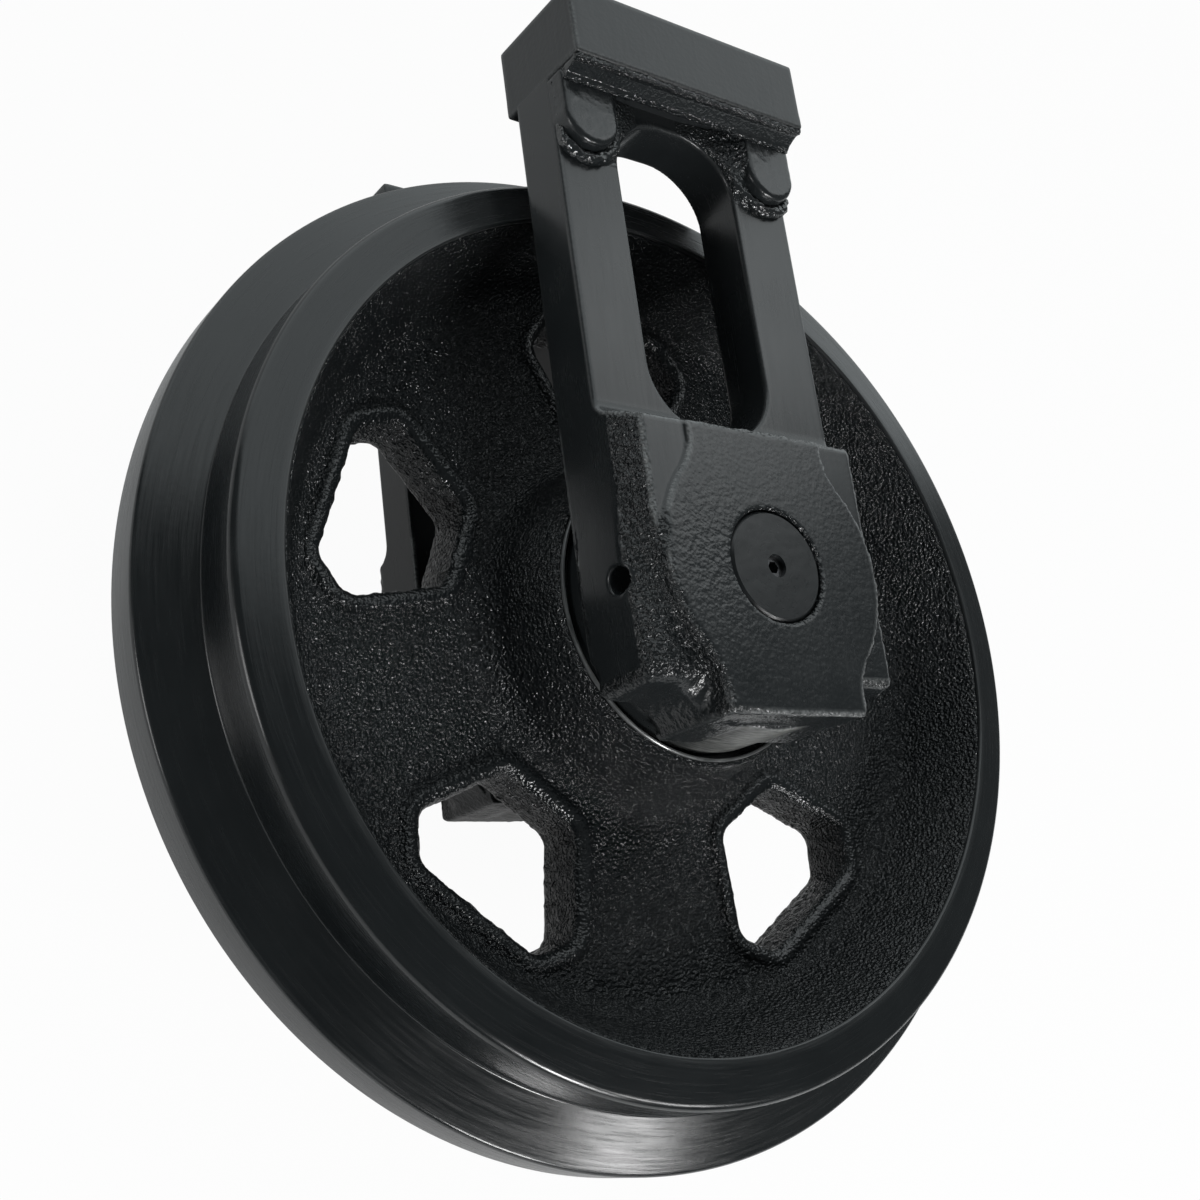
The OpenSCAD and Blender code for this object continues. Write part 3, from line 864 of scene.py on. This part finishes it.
# Left shoulder beside the neck and beside the foot, as (how far it is raised, its edge)
NECK_SHOULDER = (2.4, SHOULDER_EDGE)
FOOT_SHOULDER = (-3.0, 10.0)
SHOULDER_LEVEL_X = 20.0
SHOULDER_RISE_X = 3.0 - FOOT_X
NECK_TOP = BLOCK_LOW_TOP - 1.0
NOSE_ROOT = 2.0

# Stretches over which one form of the bracket runs into another, in millimetres
SHOULDER_Y = (-14, 18)
SLAB_END_Y = (-40, -30)
CORNER_X, CORNER_Y = (-35, -5), (-42, -22)
LEFT_X = (-30, -10)
SOFT_BOSS_Y = (5, 25)
FLANK_Y, FLANK_Z = (-40, -20), (94, 106)
COLLAR_SOFT_X, COLLAR_SOFT_Z = (-26, -14), (66, 70)

# Stretches over which the bracket's finish changes, in millimetres
BLOCK_END_Y = (BLOCK_TOP - 1, BLOCK_LOW_TOP + 1)
SIDE_TOP_Z = (BLOCK_SIDE_Z - 1, BLOCK_SIDE_Z + 1)
SKIN_START_Z = (SLAB_Z + 1, SLAB_Z + 3)
PIN_BARE_R = (PIN_HOLE_R + 0.3, PIN_HOLE_R + 1.2)
PIN_UNWORN_R = (PIN_HOLE_R + 2, PIN_HOLE_R + 3)
PIN_SIDE_X = -30
COLLAR_NEAR = (0.5, 0.9)
COLLAR_END_Z = (GUARD_TOP_Z - 1, GUARD_TOP_Z + 0.5)
COLLAR_BELOW_Y = -40
# Where the painted highlight on the collar's bottom lies, and how wide it is
COLLAR_SHINE_X, COLLAR_SHINE_W = 2, 20
SHOULDER_LOW_Z, SHOULDER_HIGH_Z = (109, 110), (113.2, 114.0)
FRONT_Z = (113.6, 114.5)
ROUGH_SHOULDER_Y = (-10, 4)
PEEL_AT, PEEL_W = (-34, 2), (24, 28)
PEEL_LOW_Y = (-40, 20)
NECK_LEFT_X, NECK_RIGHT_X = (-61, -57), (-34, -28)
NECK_Y, NECK_Z = (8, 24), (108, 110)
UNDER_Y, UNDER_Z = (-48, -45), (104, 108)
UNDER_FACE_Y = -44
ARM_START_Y = (68, 74)
UNWORN_X, UNWORN_Y = (-40, -28), (-16, 0)
BORE_UNWORN_R = (27.5, 29.5)
BORE_EVEN_R = (26, 32)

# Shares of an axis in a normal, from tilted to facing that way
SIDE_FACING = (0.95, 0.985)
FRONT_FACING = (0.93, 0.99)
UNDER_FACING = (0.75, 0.95)
BRACKET_WEAR_BEND = (0.18, 0.45)

# How much cast skin the block's front has: everywhere, left of the axle and at its lower end
FRONT_SKIN, LEFT_SKIN, LOW_SKIN = 0.04, 0.12, 0.03
# How much of the cast skin, the wear or the unevenness is taken off
SHOULDER_SMOOTHNESS, SHOULDER_ROUGHNESS = 0.97, 0.5
RIGHT_SMOOTHNESS = 0.8
NECK_SMOOTHNESS = 0.93
UNDER_SMOOTHNESS = 0.8
FRONT_EVENNESS = 0.85
ARM_UNWORN, CORNER_UNWORN = 0.85, 0.85


def slope_run(z):
    """How far the block's top has drawn in at height z."""
    return BLOCK_DRAFT * (z - SLAB_FRONT_Z) / (SHOULDER_Z - SLAB_FRONT_Z)


def arm_window(f):
    middle = (ARM_WINDOW_LOW + ARM_WINDOW_HIGH) / 2
    half = (ARM_WINDOW_HIGH - ARM_WINDOW_LOW) / 2
    return box_2d(f.x, f.y - middle, ARM_WINDOW_X, half, ARM_WINDOW_ROUND)


def block_end(f, climb, edge):
    """Distance to the block's outline seen along the arms, the left shoulder raised by climb."""
    left_z = SHOULDER_Z + climb
    return polygon_dist(f.x, f.z, rounded_path(
        [
            (-BRACKET_X, SLAB_Z), (BRACKET_X, SLAB_Z), (BRACKET_X, BLOCK_SIDE_Z),
            (BRACKET_X - BLOCK_DRAFT, SHOULDER_Z), (SHOULDER_LEVEL_X, SHOULDER_Z),
            (SHOULDER_RISE_X, left_z), (BLOCK_DRAFT - BRACKET_X, left_z), (-BRACKET_X, BLOCK_SIDE_Z),
        ],
        [CAST_EDGE, CAST_EDGE, BLOCK_SIDE_EDGE, SHOULDER_EDGE, 0, 0, edge, BLOCK_SIDE_EDGE],
    ))


def arms_and_block(f):
    """The slab with its two arms, and the block that stands on the slab's lower part."""
    side = polygon_dist(f.y, f.z, rounded_path(
        [
            (SLAB_LOW, SLAB_Z), (ARM_END_Y, SLAB_Z), (ARM_END_Y, SLAB_FRONT_Z), (BLOCK_LOW_TOP, SLAB_FRONT_Z),
            (BLOCK_LOW_TOP - slope_run(BOSS_Z), BOSS_Z), (SLAB_LOW, BOSS_Z),
        ],
        [SLAB_BACK_EDGE, 0, 0, ARM_FILLET, CAST_EDGE, BLOCK_LOW_EDGE],
    ))
    # The left shoulder is higher beside the neck than beside the foot
    climb = step_up(f.y, *SHOULDER_Y)
    end = climb * block_end(f, *NECK_SHOULDER) + (1 - climb) * block_end(f, *FOOT_SHOULDER)
    corner = step_down(f.y, *CORNER_Y) * step_down(f.x, *CORNER_X)
    edge = MILLED_EDGE + SLAB_END_EDGE * step_down(f.y, *SLAB_END_Y) + SLAB_CORNER_EDGE * corner
    return round_inter(round_inter(side, end, edge), -arm_window(f), MILLED_EDGE)


def boss_limit(f):
    """The space in front of the arms and below the block's sloping top, which the boss stays in."""
    tall = BOSS_Z + LIMIT_MARGIN
    low, high = FOOT_LOW - LIMIT_MARGIN, HEAD_Y + LIMIT_MARGIN
    return polygon_dist(f.y, f.z, rounded_path(
        [
            (low, SLAB_Z), (high, SLAB_Z), (high, SLAB_FRONT_Z), (BLOCK_LOW_TOP, SLAB_FRONT_Z),
            (BLOCK_LOW_TOP - slope_run(tall), tall), (low, tall),
        ],
        [0, 0, 0, ARM_FILLET, 0, 0],
    ))


def with_boss(f, body):
    """Adds the round boss, and the bar that crosses it as neck and foot."""
    limit = boss_limit(f)
    bar = round_inter(np.abs(f.x) - FOOT_X, FOOT_LOW - f.y, FOOT_EDGE)
    bar = np.maximum(bar, f.y - NECK_TOP)
    plan = round_union(bar, np.hypot(f.x, f.y) - BOSS_R, FOOT_BOSS_FILLET)
    left = step_down(f.x, *LEFT_X)
    soft = left * step_down(f.y, *SOFT_BOSS_Y)
    boss = round_inter(plan, f.z - BOSS_Z, CAST_EDGE + BOSS_SOFT_EDGE * soft)
    boss = round_inter(boss, limit, CAST_EDGE)
    # The foot's flank runs softly into the slab's lower end
    flank = left * step_down(f.y, *FLANK_Y) * step_down(f.z, *FLANK_Z)
    body = round_union(body, boss, BOSS_FILLET + BOSS_SOFT_FILLET * soft + FLANK_FILLET * flank)
    body = np.maximum(np.maximum(body, limit), f.z - BOSS_Z)
    return np.maximum(body, SLAB_Z - f.z)


def with_collar(f, body):
    """Adds the guard collar and the nose towards the hub, with the seal's pocket between them."""
    around = np.hypot(f.x, f.y)
    collar = round_inter(around - GUARD_R, slab_dist(f.z, GUARD_Z, GUARD_TOP_Z), COLLAR_EDGE)
    nose = np.maximum(around - NOSE_R, slab_dist(f.z, NOSE_Z, SLAB_Z + NOSE_ROOT))
    soft = step_down(f.x, *COLLAR_SOFT_X) * step_up(f.z, *COLLAR_SOFT_Z)
    body = np.minimum(round_union(body, collar, COLLAR_FILLET + COLLAR_SOFT_FILLET * soft), nose)
    pocket = np.maximum(slab_dist(around, NOSE_R, SEAL_POCKET_R), f.z - GUARD_POCKET_Z)
    return np.maximum(body, -pocket)


def drilled(f, body):
    """Cuts the axle's bore and the lock pin's hole, which is narrower at its mouth."""
    bore = np.hypot(f.x, f.y) - BORE_R - BORE_GAP
    body = round_inter(body, -bore, BORE_EDGE)
    pin_r = np.where(f.x < PIN_END_X - PIN_EDGE, PIN_MOUTH_R, PIN_HOLE_R)
    pin = np.maximum(np.hypot(f.y - PIN_Y, f.z - PIN_Z) - pin_r, f.x)
    return round_inter(body, -pin, PIN_EDGE)


def finish_bracket(mesh):
    """Sets where the bracket is cast, turned or worn, and roughens the cast skin."""
    p, n = points_of(mesh), normals_of(mesh)
    x, y, z = p.T
    r, pin_r = np.hypot(x, y), np.hypot(y - PIN_Y, z - PIN_Z)
    # Milled arms, side faces and left shoulder, and the turned collar, whose bare metal is laid on below the
    # foot as a painted highlight
    milled = step_up(np.abs(n[:, 0]), *SIDE_FACING) * step_down(z, *SIDE_TOP_Z)
    milled = np.maximum(milled, step_down(pin_r, *PIN_BARE_R) * (x < PIN_SIDE_X))
    turning_and_sheen = step_down(np.abs(r - GUARD_R), *COLLAR_NEAR) * step_down(z, *COLLAR_END_Z)
    # Painted highlight: the bare colour is strongest near x = 2 on the collar's bottom and fades to each side
    turning_and_sheen = turning_and_sheen * (y < COLLAR_BELOW_Y) * np.exp(-((x - COLLAR_SHINE_X) / COLLAR_SHINE_W) ** 2)
    level = step_up(n[:, 2], *FRONT_FACING)
    shoulder = level * step_up(z, *SHOULDER_LOW_Z) * step_down(z, *SHOULDER_HIGH_Z)
    front = level * step_up(z, *FRONT_Z)
    neck = step_up(x, *NECK_LEFT_X) * step_down(x, *NECK_RIGHT_X) * step_up(y, *NECK_Y) * step_up(z, *NECK_Z)
    under = np.maximum(
        step_up(-n[:, 1], *UNDER_FACING) * (y < UNDER_FACE_Y), step_down(y, *UNDER_Y) * step_down(z, *UNDER_Z)
    )
    # Cast skin on the block, of which the front keeps a little, most of it left of the axle
    peel = LEFT_SKIN * np.exp(-((x - PEEL_AT[0]) / PEEL_W[0]) ** 2 - ((y - PEEL_AT[1]) / PEEL_W[1]) ** 2)
    peel = FRONT_SKIN + peel + LOW_SKIN * step_down(y, *PEEL_LOW_Y)
    skin = step_down(y, *BLOCK_END_Y) * step_up(z, *SKIN_START_Z) * (1 - milled) * (1 - turning_and_sheen)
    smooth = SHOULDER_SMOOTHNESS - SHOULDER_ROUGHNESS * step_down(y, *ROUGH_SHOULDER_Y)
    skin = skin * (1 - front * (1 - peel)) * (1 - smooth * shoulder) * (1 - UNDER_SMOOTHNESS * under)
    skin = skin * (1 - NECK_SMOOTHNESS * neck * (1 - front)) * (1 - RIGHT_SMOOTHNESS * shoulder * (x > 0))
    wear = worn_edges(mesh, *BRACKET_WEAR_BEND) * step_up(pin_r, *PIN_UNWORN_R) * step_up(r, *BORE_UNWORN_R)
    wear = wear * (1 - ARM_UNWORN * step_up(y, *ARM_START_Y))
    wear = wear * (1 - CORNER_UNWORN * step_down(x, *UNWORN_X) * step_down(y, *UNWORN_Y))
    add_value(mesh, "cast", skin)
    add_value(mesh, "turning_and_sheen", turning_and_sheen)
    add_value(mesh, "wear", wear)
    push(mesh, uneven(p, BLOCK_LUMPS) * skin * (1 - FRONT_EVENNESS * front) * step_up(r, *BORE_EVEN_R))
    keep_below(mesh, BOSS_Z)


def build_bracket():
    f = Field((-BRACKET_X, FOOT_LOW, NOSE_Z), (BRACKET_X, ARM_END_Y, BOSS_Z), BRACKET_STEP, BRACKET_MARGIN)
    mesh = f.mesh("near_bracket_body", drilled(f, with_collar(f, with_boss(f, arms_and_block(f)))))
    finish_bracket(mesh)
    return mesh


# Head bars, pads and welds

HEAD_STEP = 1.5
HEAD_MARGIN = (4.0, 5.0, 5.0)
HEAD_EDGE = 1.6
HEAD_FLUSH_EDGE = 0.1
HEAD_SIDE_EDGE = 1.3
HEAD_SIDE_Y = (HEAD_Y + 4, HEAD_Y + 9)
HEAD_SKIN = 0.03
HEAD_WEAR = 0.4
HEAD_WEAR_BEND = (0.3, 0.6)
YOKE_HOLE_EDGE = 0.8

LUG_STEP = 0.9
LUG_MARGIN = 3.0
LUG_ROOT = 4.0
LUG_EDGE = 2.6
LUG_FLUSH_GAP = 0.1
LUG_SKIN = 0.06
LUG_UNEVEN_Z = (SLAB_FRONT_Z, SLAB_FRONT_Z + 3)

HEAD_WELD_STEP = 0.6
HEAD_WELD_MARGIN = (2.0, 5.0, 4.0)
HEAD_WELD_ROOT = 0.5
HEAD_WELD_TOP_W = 0.8
HEAD_WELD_FOOT_H = 0.8
HEAD_WELD_LOW_Z = LUG_FRONT_Z - 1.5
HEAD_WELD_FILLET = 0.8
HEAD_WELD_END_GAP = 0.6
UPPER_BEAD_R = 1.7
UPPER_BEAD_OUT = 0.9
LOWER_BEAD_R = 1.6
LOWER_BEAD_UP = 0.4
LOWER_BEAD_INNER_X = 30.0
BEAD_EDGE_OFF = (2.6, 4.2)
BEAD_END_EDGE = 1.5
HEAD_WELD_END_EDGE = 1.0
FILL_RIPPLES, BEAD_RIPPLES = 0.10, 0.95
FILL_GRAIN = 0.08

LUG_WELD_STEP = 0.7
LUG_WELD_MARGIN = (2.0, 4.0, 3.0)
LUG_WELD_OUT = 0.48
LUG_WELD_UP = 0.34
LUG_WELD_R = 0.58
LUG_WELD_FOOT_R = 0.5
LUG_WELD_END_GAP = 0.4
LUG_WELD_DEPTH = 1.0
LUG_WELD_FILLET = 0.6
LUG_WELD_GRAIN = 0.3
LUG_WELD_UNEVEN_Z = (SLAB_FRONT_Z, SLAB_FRONT_Z + 1)
LUG_WELD_ROUGH_Y = (LUG_ROUND_Y - 6, LUG_ROUND_Y + 2)
RUNOUT_W = 36.0
RUNOUT_H = 4.6
RUNOUT_CURVE = 1.3
RUNOUT_LEFT_SHARE = 0.55
RUNOUT_Y = (194, 208)
RUNOUT_LEAST = 0.02
RUNOUT_WALL_H = 4.4
RUNOUT_WALL_W = 4.0
RUNOUT_WALL_Y = (206, 216)
RUNOUT_WINDOW_GAP = 0.6
RUNOUT_EDGE = 1.0
RUNOUT_FILLET = 1.5
FAR_AWAY = 5.0


def build_head():
    """Bar across the ends of the arms, with two yoke bolt holes."""
    f = Field((-BRACKET_X, HEAD_Y, HEAD_BACK_Z), (BRACKET_X, HEAD_TOP, BOSS_Z), HEAD_STEP, HEAD_MARGIN)
    middle_y, half_y = (HEAD_Y + HEAD_TOP) / 2, (HEAD_TOP - HEAD_Y) / 2
    middle_z, half_z = (HEAD_BACK_Z + BOSS_Z) / 2, (BOSS_Z - HEAD_BACK_Z) / 2
    section = box_2d(f.y - middle_y, f.z - middle_z, half_y, half_z, HEAD_EDGE)
    # Its sides are flush with the slab's where the two meet
    side_edge = HEAD_FLUSH_EDGE + HEAD_SIDE_EDGE * step_up(f.y, *HEAD_SIDE_Y)
    body = round_inter(section, np.abs(f.x) - BRACKET_X, side_edge)
    hole = np.hypot(np.abs(f.x) - YOKE_HOLE_X, f.z - middle_z) - YOKE_HOLE_R
    body = round_inter(body, -np.maximum(hole, HEAD_TOP - YOKE_HOLE_H - f.y), YOKE_HOLE_EDGE)
    mesh = f.mesh("near_head_block", body)
    add_value(mesh, "cast", HEAD_SKIN)
    add_value(mesh, "wear", HEAD_WEAR * worn_edges(mesh, *HEAD_WEAR_BEND))
    add_value(mesh, "matte", 1.0)
    return mesh


def lug_plan(f):
    """Distance to the outline of the two pads, which are round at their lower ends."""
    x = np.abs(f.x) - LUG_X
    return np.where(f.y < LUG_ROUND_Y, np.hypot(x, f.y - LUG_ROUND_Y), np.abs(x)) - LUG_R


def build_lugs():
    root_z = SLAB_FRONT_Z - LUG_ROOT
    f = Field(
        (-BRACKET_X, LUG_ROUND_Y - LUG_R, root_z), (BRACKET_X, HEAD_Y, LUG_FRONT_Z), LUG_STEP, LUG_MARGIN
    )
    plan = np.maximum(lug_plan(f), f.y - HEAD_Y)
    body = round_inter(plan, f.z - LUG_FRONT_Z, LUG_EDGE)
    body = np.maximum(body, root_z - f.z)
    body = np.maximum(body, np.abs(f.x) - BRACKET_X + LUG_FLUSH_GAP)
    mesh = f.mesh("near_lug_pads", body)
    add_value(mesh, "cast", LUG_SKIN)
    p = points_of(mesh)
    push(mesh, uneven(p, LUG_LUMPS) * step_up(p[:, 2], *LUG_UNEVEN_Z))
    return mesh


def build_head_weld():
    """Sloping fill under the head, with a rippled bead along its upper edge and over the pads."""
    f = Field(
        (-BRACKET_X, HEAD_WELD_Y, LUG_FRONT_Z), (BRACKET_X, HEAD_Y, BOSS_Z), HEAD_WELD_STEP, HEAD_WELD_MARGIN
    )
    root_y = HEAD_Y + HEAD_WELD_ROOT
    fill = polygon_dist(f.y, f.z, [
        (root_y, HEAD_WELD_LOW_Z), (root_y, HEAD_WELD_Z), (HEAD_Y - HEAD_WELD_TOP_W, HEAD_WELD_Z),
        (HEAD_WELD_Y, LUG_FRONT_Z + HEAD_WELD_FOOT_H), (HEAD_WELD_Y, HEAD_WELD_LOW_Z),
    ])
    upper = np.hypot(f.y - HEAD_Y + UPPER_BEAD_OUT, f.z - HEAD_WELD_Z) - UPPER_BEAD_R
    lower = np.hypot(f.y - HEAD_WELD_Y, f.z - LUG_FRONT_Z - LOWER_BEAD_UP) - LOWER_BEAD_R
    lower = round_inter(lower, LOWER_BEAD_INNER_X - np.abs(f.x), BEAD_END_EDGE)
    body = round_union(round_union(fill, upper, HEAD_WELD_FILLET), lower, HEAD_WELD_FILLET)
    body = round_inter(body, np.abs(f.x) - BRACKET_X + HEAD_WELD_END_GAP, HEAD_WELD_END_EDGE)
    mesh = f.mesh("near_head_weld_bead", body)
    p = points_of(mesh)
    bead = step_up(np.abs(p[:, 2] - (HEAD_WELD_Z + LUG_FRONT_Z) / 2), *BEAD_EDGE_OFF)
    push(mesh, uneven(p, HEAD_WELD_RIPPLES) * (FILL_RIPPLES + BEAD_RIPPLES * bead))
    add_value(mesh, "grainy", FILL_GRAIN + (1 - FILL_GRAIN) * bead)
    return mesh


def weld_runout(f, plan, height):
    """Metal that runs from the pads' inner sides into the corners beside the arm window."""
    share = np.where(f.x > 0, 1.0, RUNOUT_LEFT_SHARE)
    reach = np.clip(1 - plan / (RUNOUT_W * share), 0, 1) * step_up(f.y, *RUNOUT_Y)
    by_pad = np.exp(-np.maximum(plan, 0) / RUNOUT_WALL_W) * step_up(f.y, *RUNOUT_WALL_Y)
    runout = height - share * (RUNOUT_H * reach ** RUNOUT_CURVE + RUNOUT_WALL_H * by_pad)
    runout = round_inter(runout, RUNOUT_WINDOW_GAP - arm_window(f), RUNOUT_EDGE)
    runout = np.maximum(runout, np.abs(f.x) - LUG_X)
    return np.where(reach > RUNOUT_LEAST, runout, FAR_AWAY)


def build_lug_welds():
    """Beads round the pads, smooth below them, run out at the top into the corners."""
    low_y = LUG_ROUND_Y - LUG_R - LUG_WELD
    f = Field(
        (-BRACKET_X, low_y, SLAB_FRONT_Z), (BRACKET_X, HEAD_Y, LUG_FRONT_Z), LUG_WELD_STEP, LUG_WELD_MARGIN
    )
    plan, height = lug_plan(f), f.z - SLAB_FRONT_Z
    bead = np.hypot(plan - LUG_WELD_OUT * LUG_WELD, height - LUG_WELD_UP * LUG_WELD) - LUG_WELD_R * LUG_WELD
    foot = np.hypot(np.maximum(plan, 0), np.maximum(height, 0)) - LUG_WELD_FOOT_R * LUG_WELD
    body = round_union(bead, foot, LUG_WELD_FILLET)
    body = round_union(body, weld_runout(f, plan, height), RUNOUT_FILLET)
    body = np.maximum(body, -LUG_WELD_DEPTH - height)
    body = np.maximum(body, np.abs(f.x) - BRACKET_X + LUG_WELD_END_GAP)
    mesh = f.mesh("near_lug_beads", np.maximum(body, f.y - HEAD_Y))
    p = points_of(mesh)
    above = step_up(p[:, 1], *LUG_WELD_ROUGH_Y)
    ripples = uneven(p, LUG_WELD_RIPPLES) + above * uneven(p, RUNOUT_RIPPLES)
    push(mesh, ripples * step_up(p[:, 2], *LUG_WELD_UNEVEN_Z))
    add_value(mesh, "grainy", LUG_WELD_GRAIN + (1 - LUG_WELD_GRAIN) * above)
    return mesh


def both_sides(ending, mesh, node, material):
    """The near piece and its mirrored copy on the far bracket."""
    far = mirrored(f"far_{ending}", mesh)
    piece(f"near_{ending}", mesh, "carrier", material, f"near_{node}")
    piece(f"far_{ending}", far, "carrier", material, f"far_{node}")


both_sides("bracket_body", build_bracket(), "bracket", BRACKET)
both_sides("head_block", build_head(), "head_bar", BRACKET)
both_sides("lug_pads", build_lugs(), "lugs", BRACKET)
both_sides("head_weld_bead", build_head_weld(), "head_weld", WELD)
both_sides("lug_beads", build_lug_welds(), "lug_welds", WELD)


# Stage, light and camera

FLOOR_HALF = 6000.0
FLOOR_DROP = 0.0003
FLOOR_COLOR = (0.82, 0.82, 0.82, 1)
FLOOR_ROUGHNESS = 0.9
FLOOR_SPECULAR = 0.1
FLOOR_WHITE_SEEN = 0.96
FLOOR_WHITE_MIRRORED = 0.25

# The room is bright towards +Y, less so far out to the right and to the left
ROOM_RIGHT_FROM = 0.5
ROOM_RIGHT_LEAN = -0.3
ROOM_LEFT_LEAN = 0.6
ROOM_EDGE = (0.06, 0.22)
ROOM_STRENGTH = (0.10, 1.22)
ROOM_TONE = (0.93, 1.0, 1.02)
WHITE = (1.0, 1.0, 1.0)

# Each lamp's name, place and diameter in metres, and power in watts
LAMPS = (
    ("window", (0.92, 0.74, 1.20), 0.6, 0.7),
    ("key", (0.62, -1.12, 0.88), 0.36, 5),
    ("low_front", (0.1, -1.5, 0.70), 0.34, 13),
    ("left_fill", (-1.25, -0.05, 0.22), 0.4, 2.2),
)


def camera():
    data = bpy.data.cameras.new("camera")
    data.sensor_width = CAMERA_SENSOR
    data.lens = CAMERA_LENS
    data.clip_start = CAMERA_NEAREST
    obj = bpy.data.objects.new("camera", data)
    right, down, ahead = Vector(CAMERA_RIGHT), Vector(CAMERA_DOWN), Vector(CAMERA_AHEAD)
    turn = Matrix((right, -down, -ahead)).transposed()
    obj.matrix_world = Matrix.Translation(CAMERA_AT) @ turn.to_4x4()
    bpy.context.scene.collection.objects.link(obj)
    bpy.context.scene.camera = obj


def floor():
    """Pale floor that keeps the part's shadow, mostly white to the camera."""
    corners = [(x * FLOOR_HALF, y * FLOOR_HALF, 0) for x, y in ((-1, -1), (1, -1), (1, 1), (-1, 1))]
    mesh = mesh_of("floor", corners, [[0, 1, 2, 3]])
    obj = bpy.data.objects.new("floor", mesh)
    obj.location.z = cad_box[0][2] - FLOOR_DROP
    bpy.context.scene.collection.objects.link(obj)
    n = Paint("pale_floor")
    n.shader.inputs["Base Color"].default_value = FLOOR_COLOR
    n.shader.inputs["Roughness"].default_value = FLOOR_ROUGHNESS
    n.shader.inputs["Specular IOR Level"].default_value = FLOOR_SPECULAR
    path = n.add("ShaderNodeLightPath")
    seen = n.math("MAXIMUM", path.outputs["Is Camera Ray"], path.outputs["Is Transmission Ray"])
    mirrored_share = n.math("MULTIPLY", path.outputs["Is Glossy Ray"], FLOOR_WHITE_MIRRORED)
    share = n.math("MULTIPLY_ADD", seen, FLOOR_WHITE_SEEN, mirrored_share)
    white = n.add("ShaderNodeEmission", Strength=1.0)
    mix = n.add("ShaderNodeMixShader")
    n.link(share, mix.inputs["Fac"])
    n.link(n.shader.outputs[0], mix.inputs[1])
    n.link(white.outputs[0], mix.inputs[2])
    n.link(mix.outputs[0], n.tree.nodes["Material Output"].inputs["Surface"])
    mesh.materials.append(n.material)


def world():
    """Soft light from a bright wall on the head's side of a dark room, plain white to the camera."""
    made = bpy.data.worlds.new("studio")
    n = Nodes(made)
    split = n.add("ShaderNodeSeparateXYZ")
    n.link(n.add("ShaderNodeTexCoord").outputs["Generated"], split.inputs[0])
    right = n.math("MAXIMUM", split.outputs["X"], ROOM_RIGHT_FROM)
    left = n.math("MINIMUM", split.outputs["X"], 0.0)
    lean = n.math("MULTIPLY_ADD", right, ROOM_RIGHT_LEAN, split.outputs["Y"])
    lean = n.math("MULTIPLY_ADD", left, ROOM_LEFT_LEAN, lean)
    light = n.spread(lean, *ROOM_STRENGTH, *ROOM_EDGE, curve="SMOOTHSTEP")
    to_camera = n.add("ShaderNodeLightPath").outputs["Is Camera Ray"]
    strength = n.add("ShaderNodeMix", B=1.0)
    n.link(to_camera, strength.inputs["Factor"])
    n.link(light, strength.inputs["A"])
    back = n.tree.nodes["Background"]
    n.link(strength.outputs["Result"], back.inputs["Strength"])
    n.link(n.tint(to_camera, ROOM_TONE, WHITE), back.inputs["Color"])
    bpy.context.scene.world = made


def lamp(name, at, size, power):
    """A round lamp that faces the middle of the wheel."""
    data = bpy.data.lights.new(name, "AREA")
    data.shape = "DISK"
    data.size = size
    data.energy = power
    obj = bpy.data.objects.new(name, data)
    obj.location = at
    obj.rotation_euler = Vector(at).to_track_quat("Z", "Y").to_euler()
    bpy.context.scene.collection.objects.link(obj)


camera()
floor()
world()
for lamp_values in LAMPS:
    lamp(*lamp_values)
bpy.context.scene.view_settings.view_transform = "Standard"
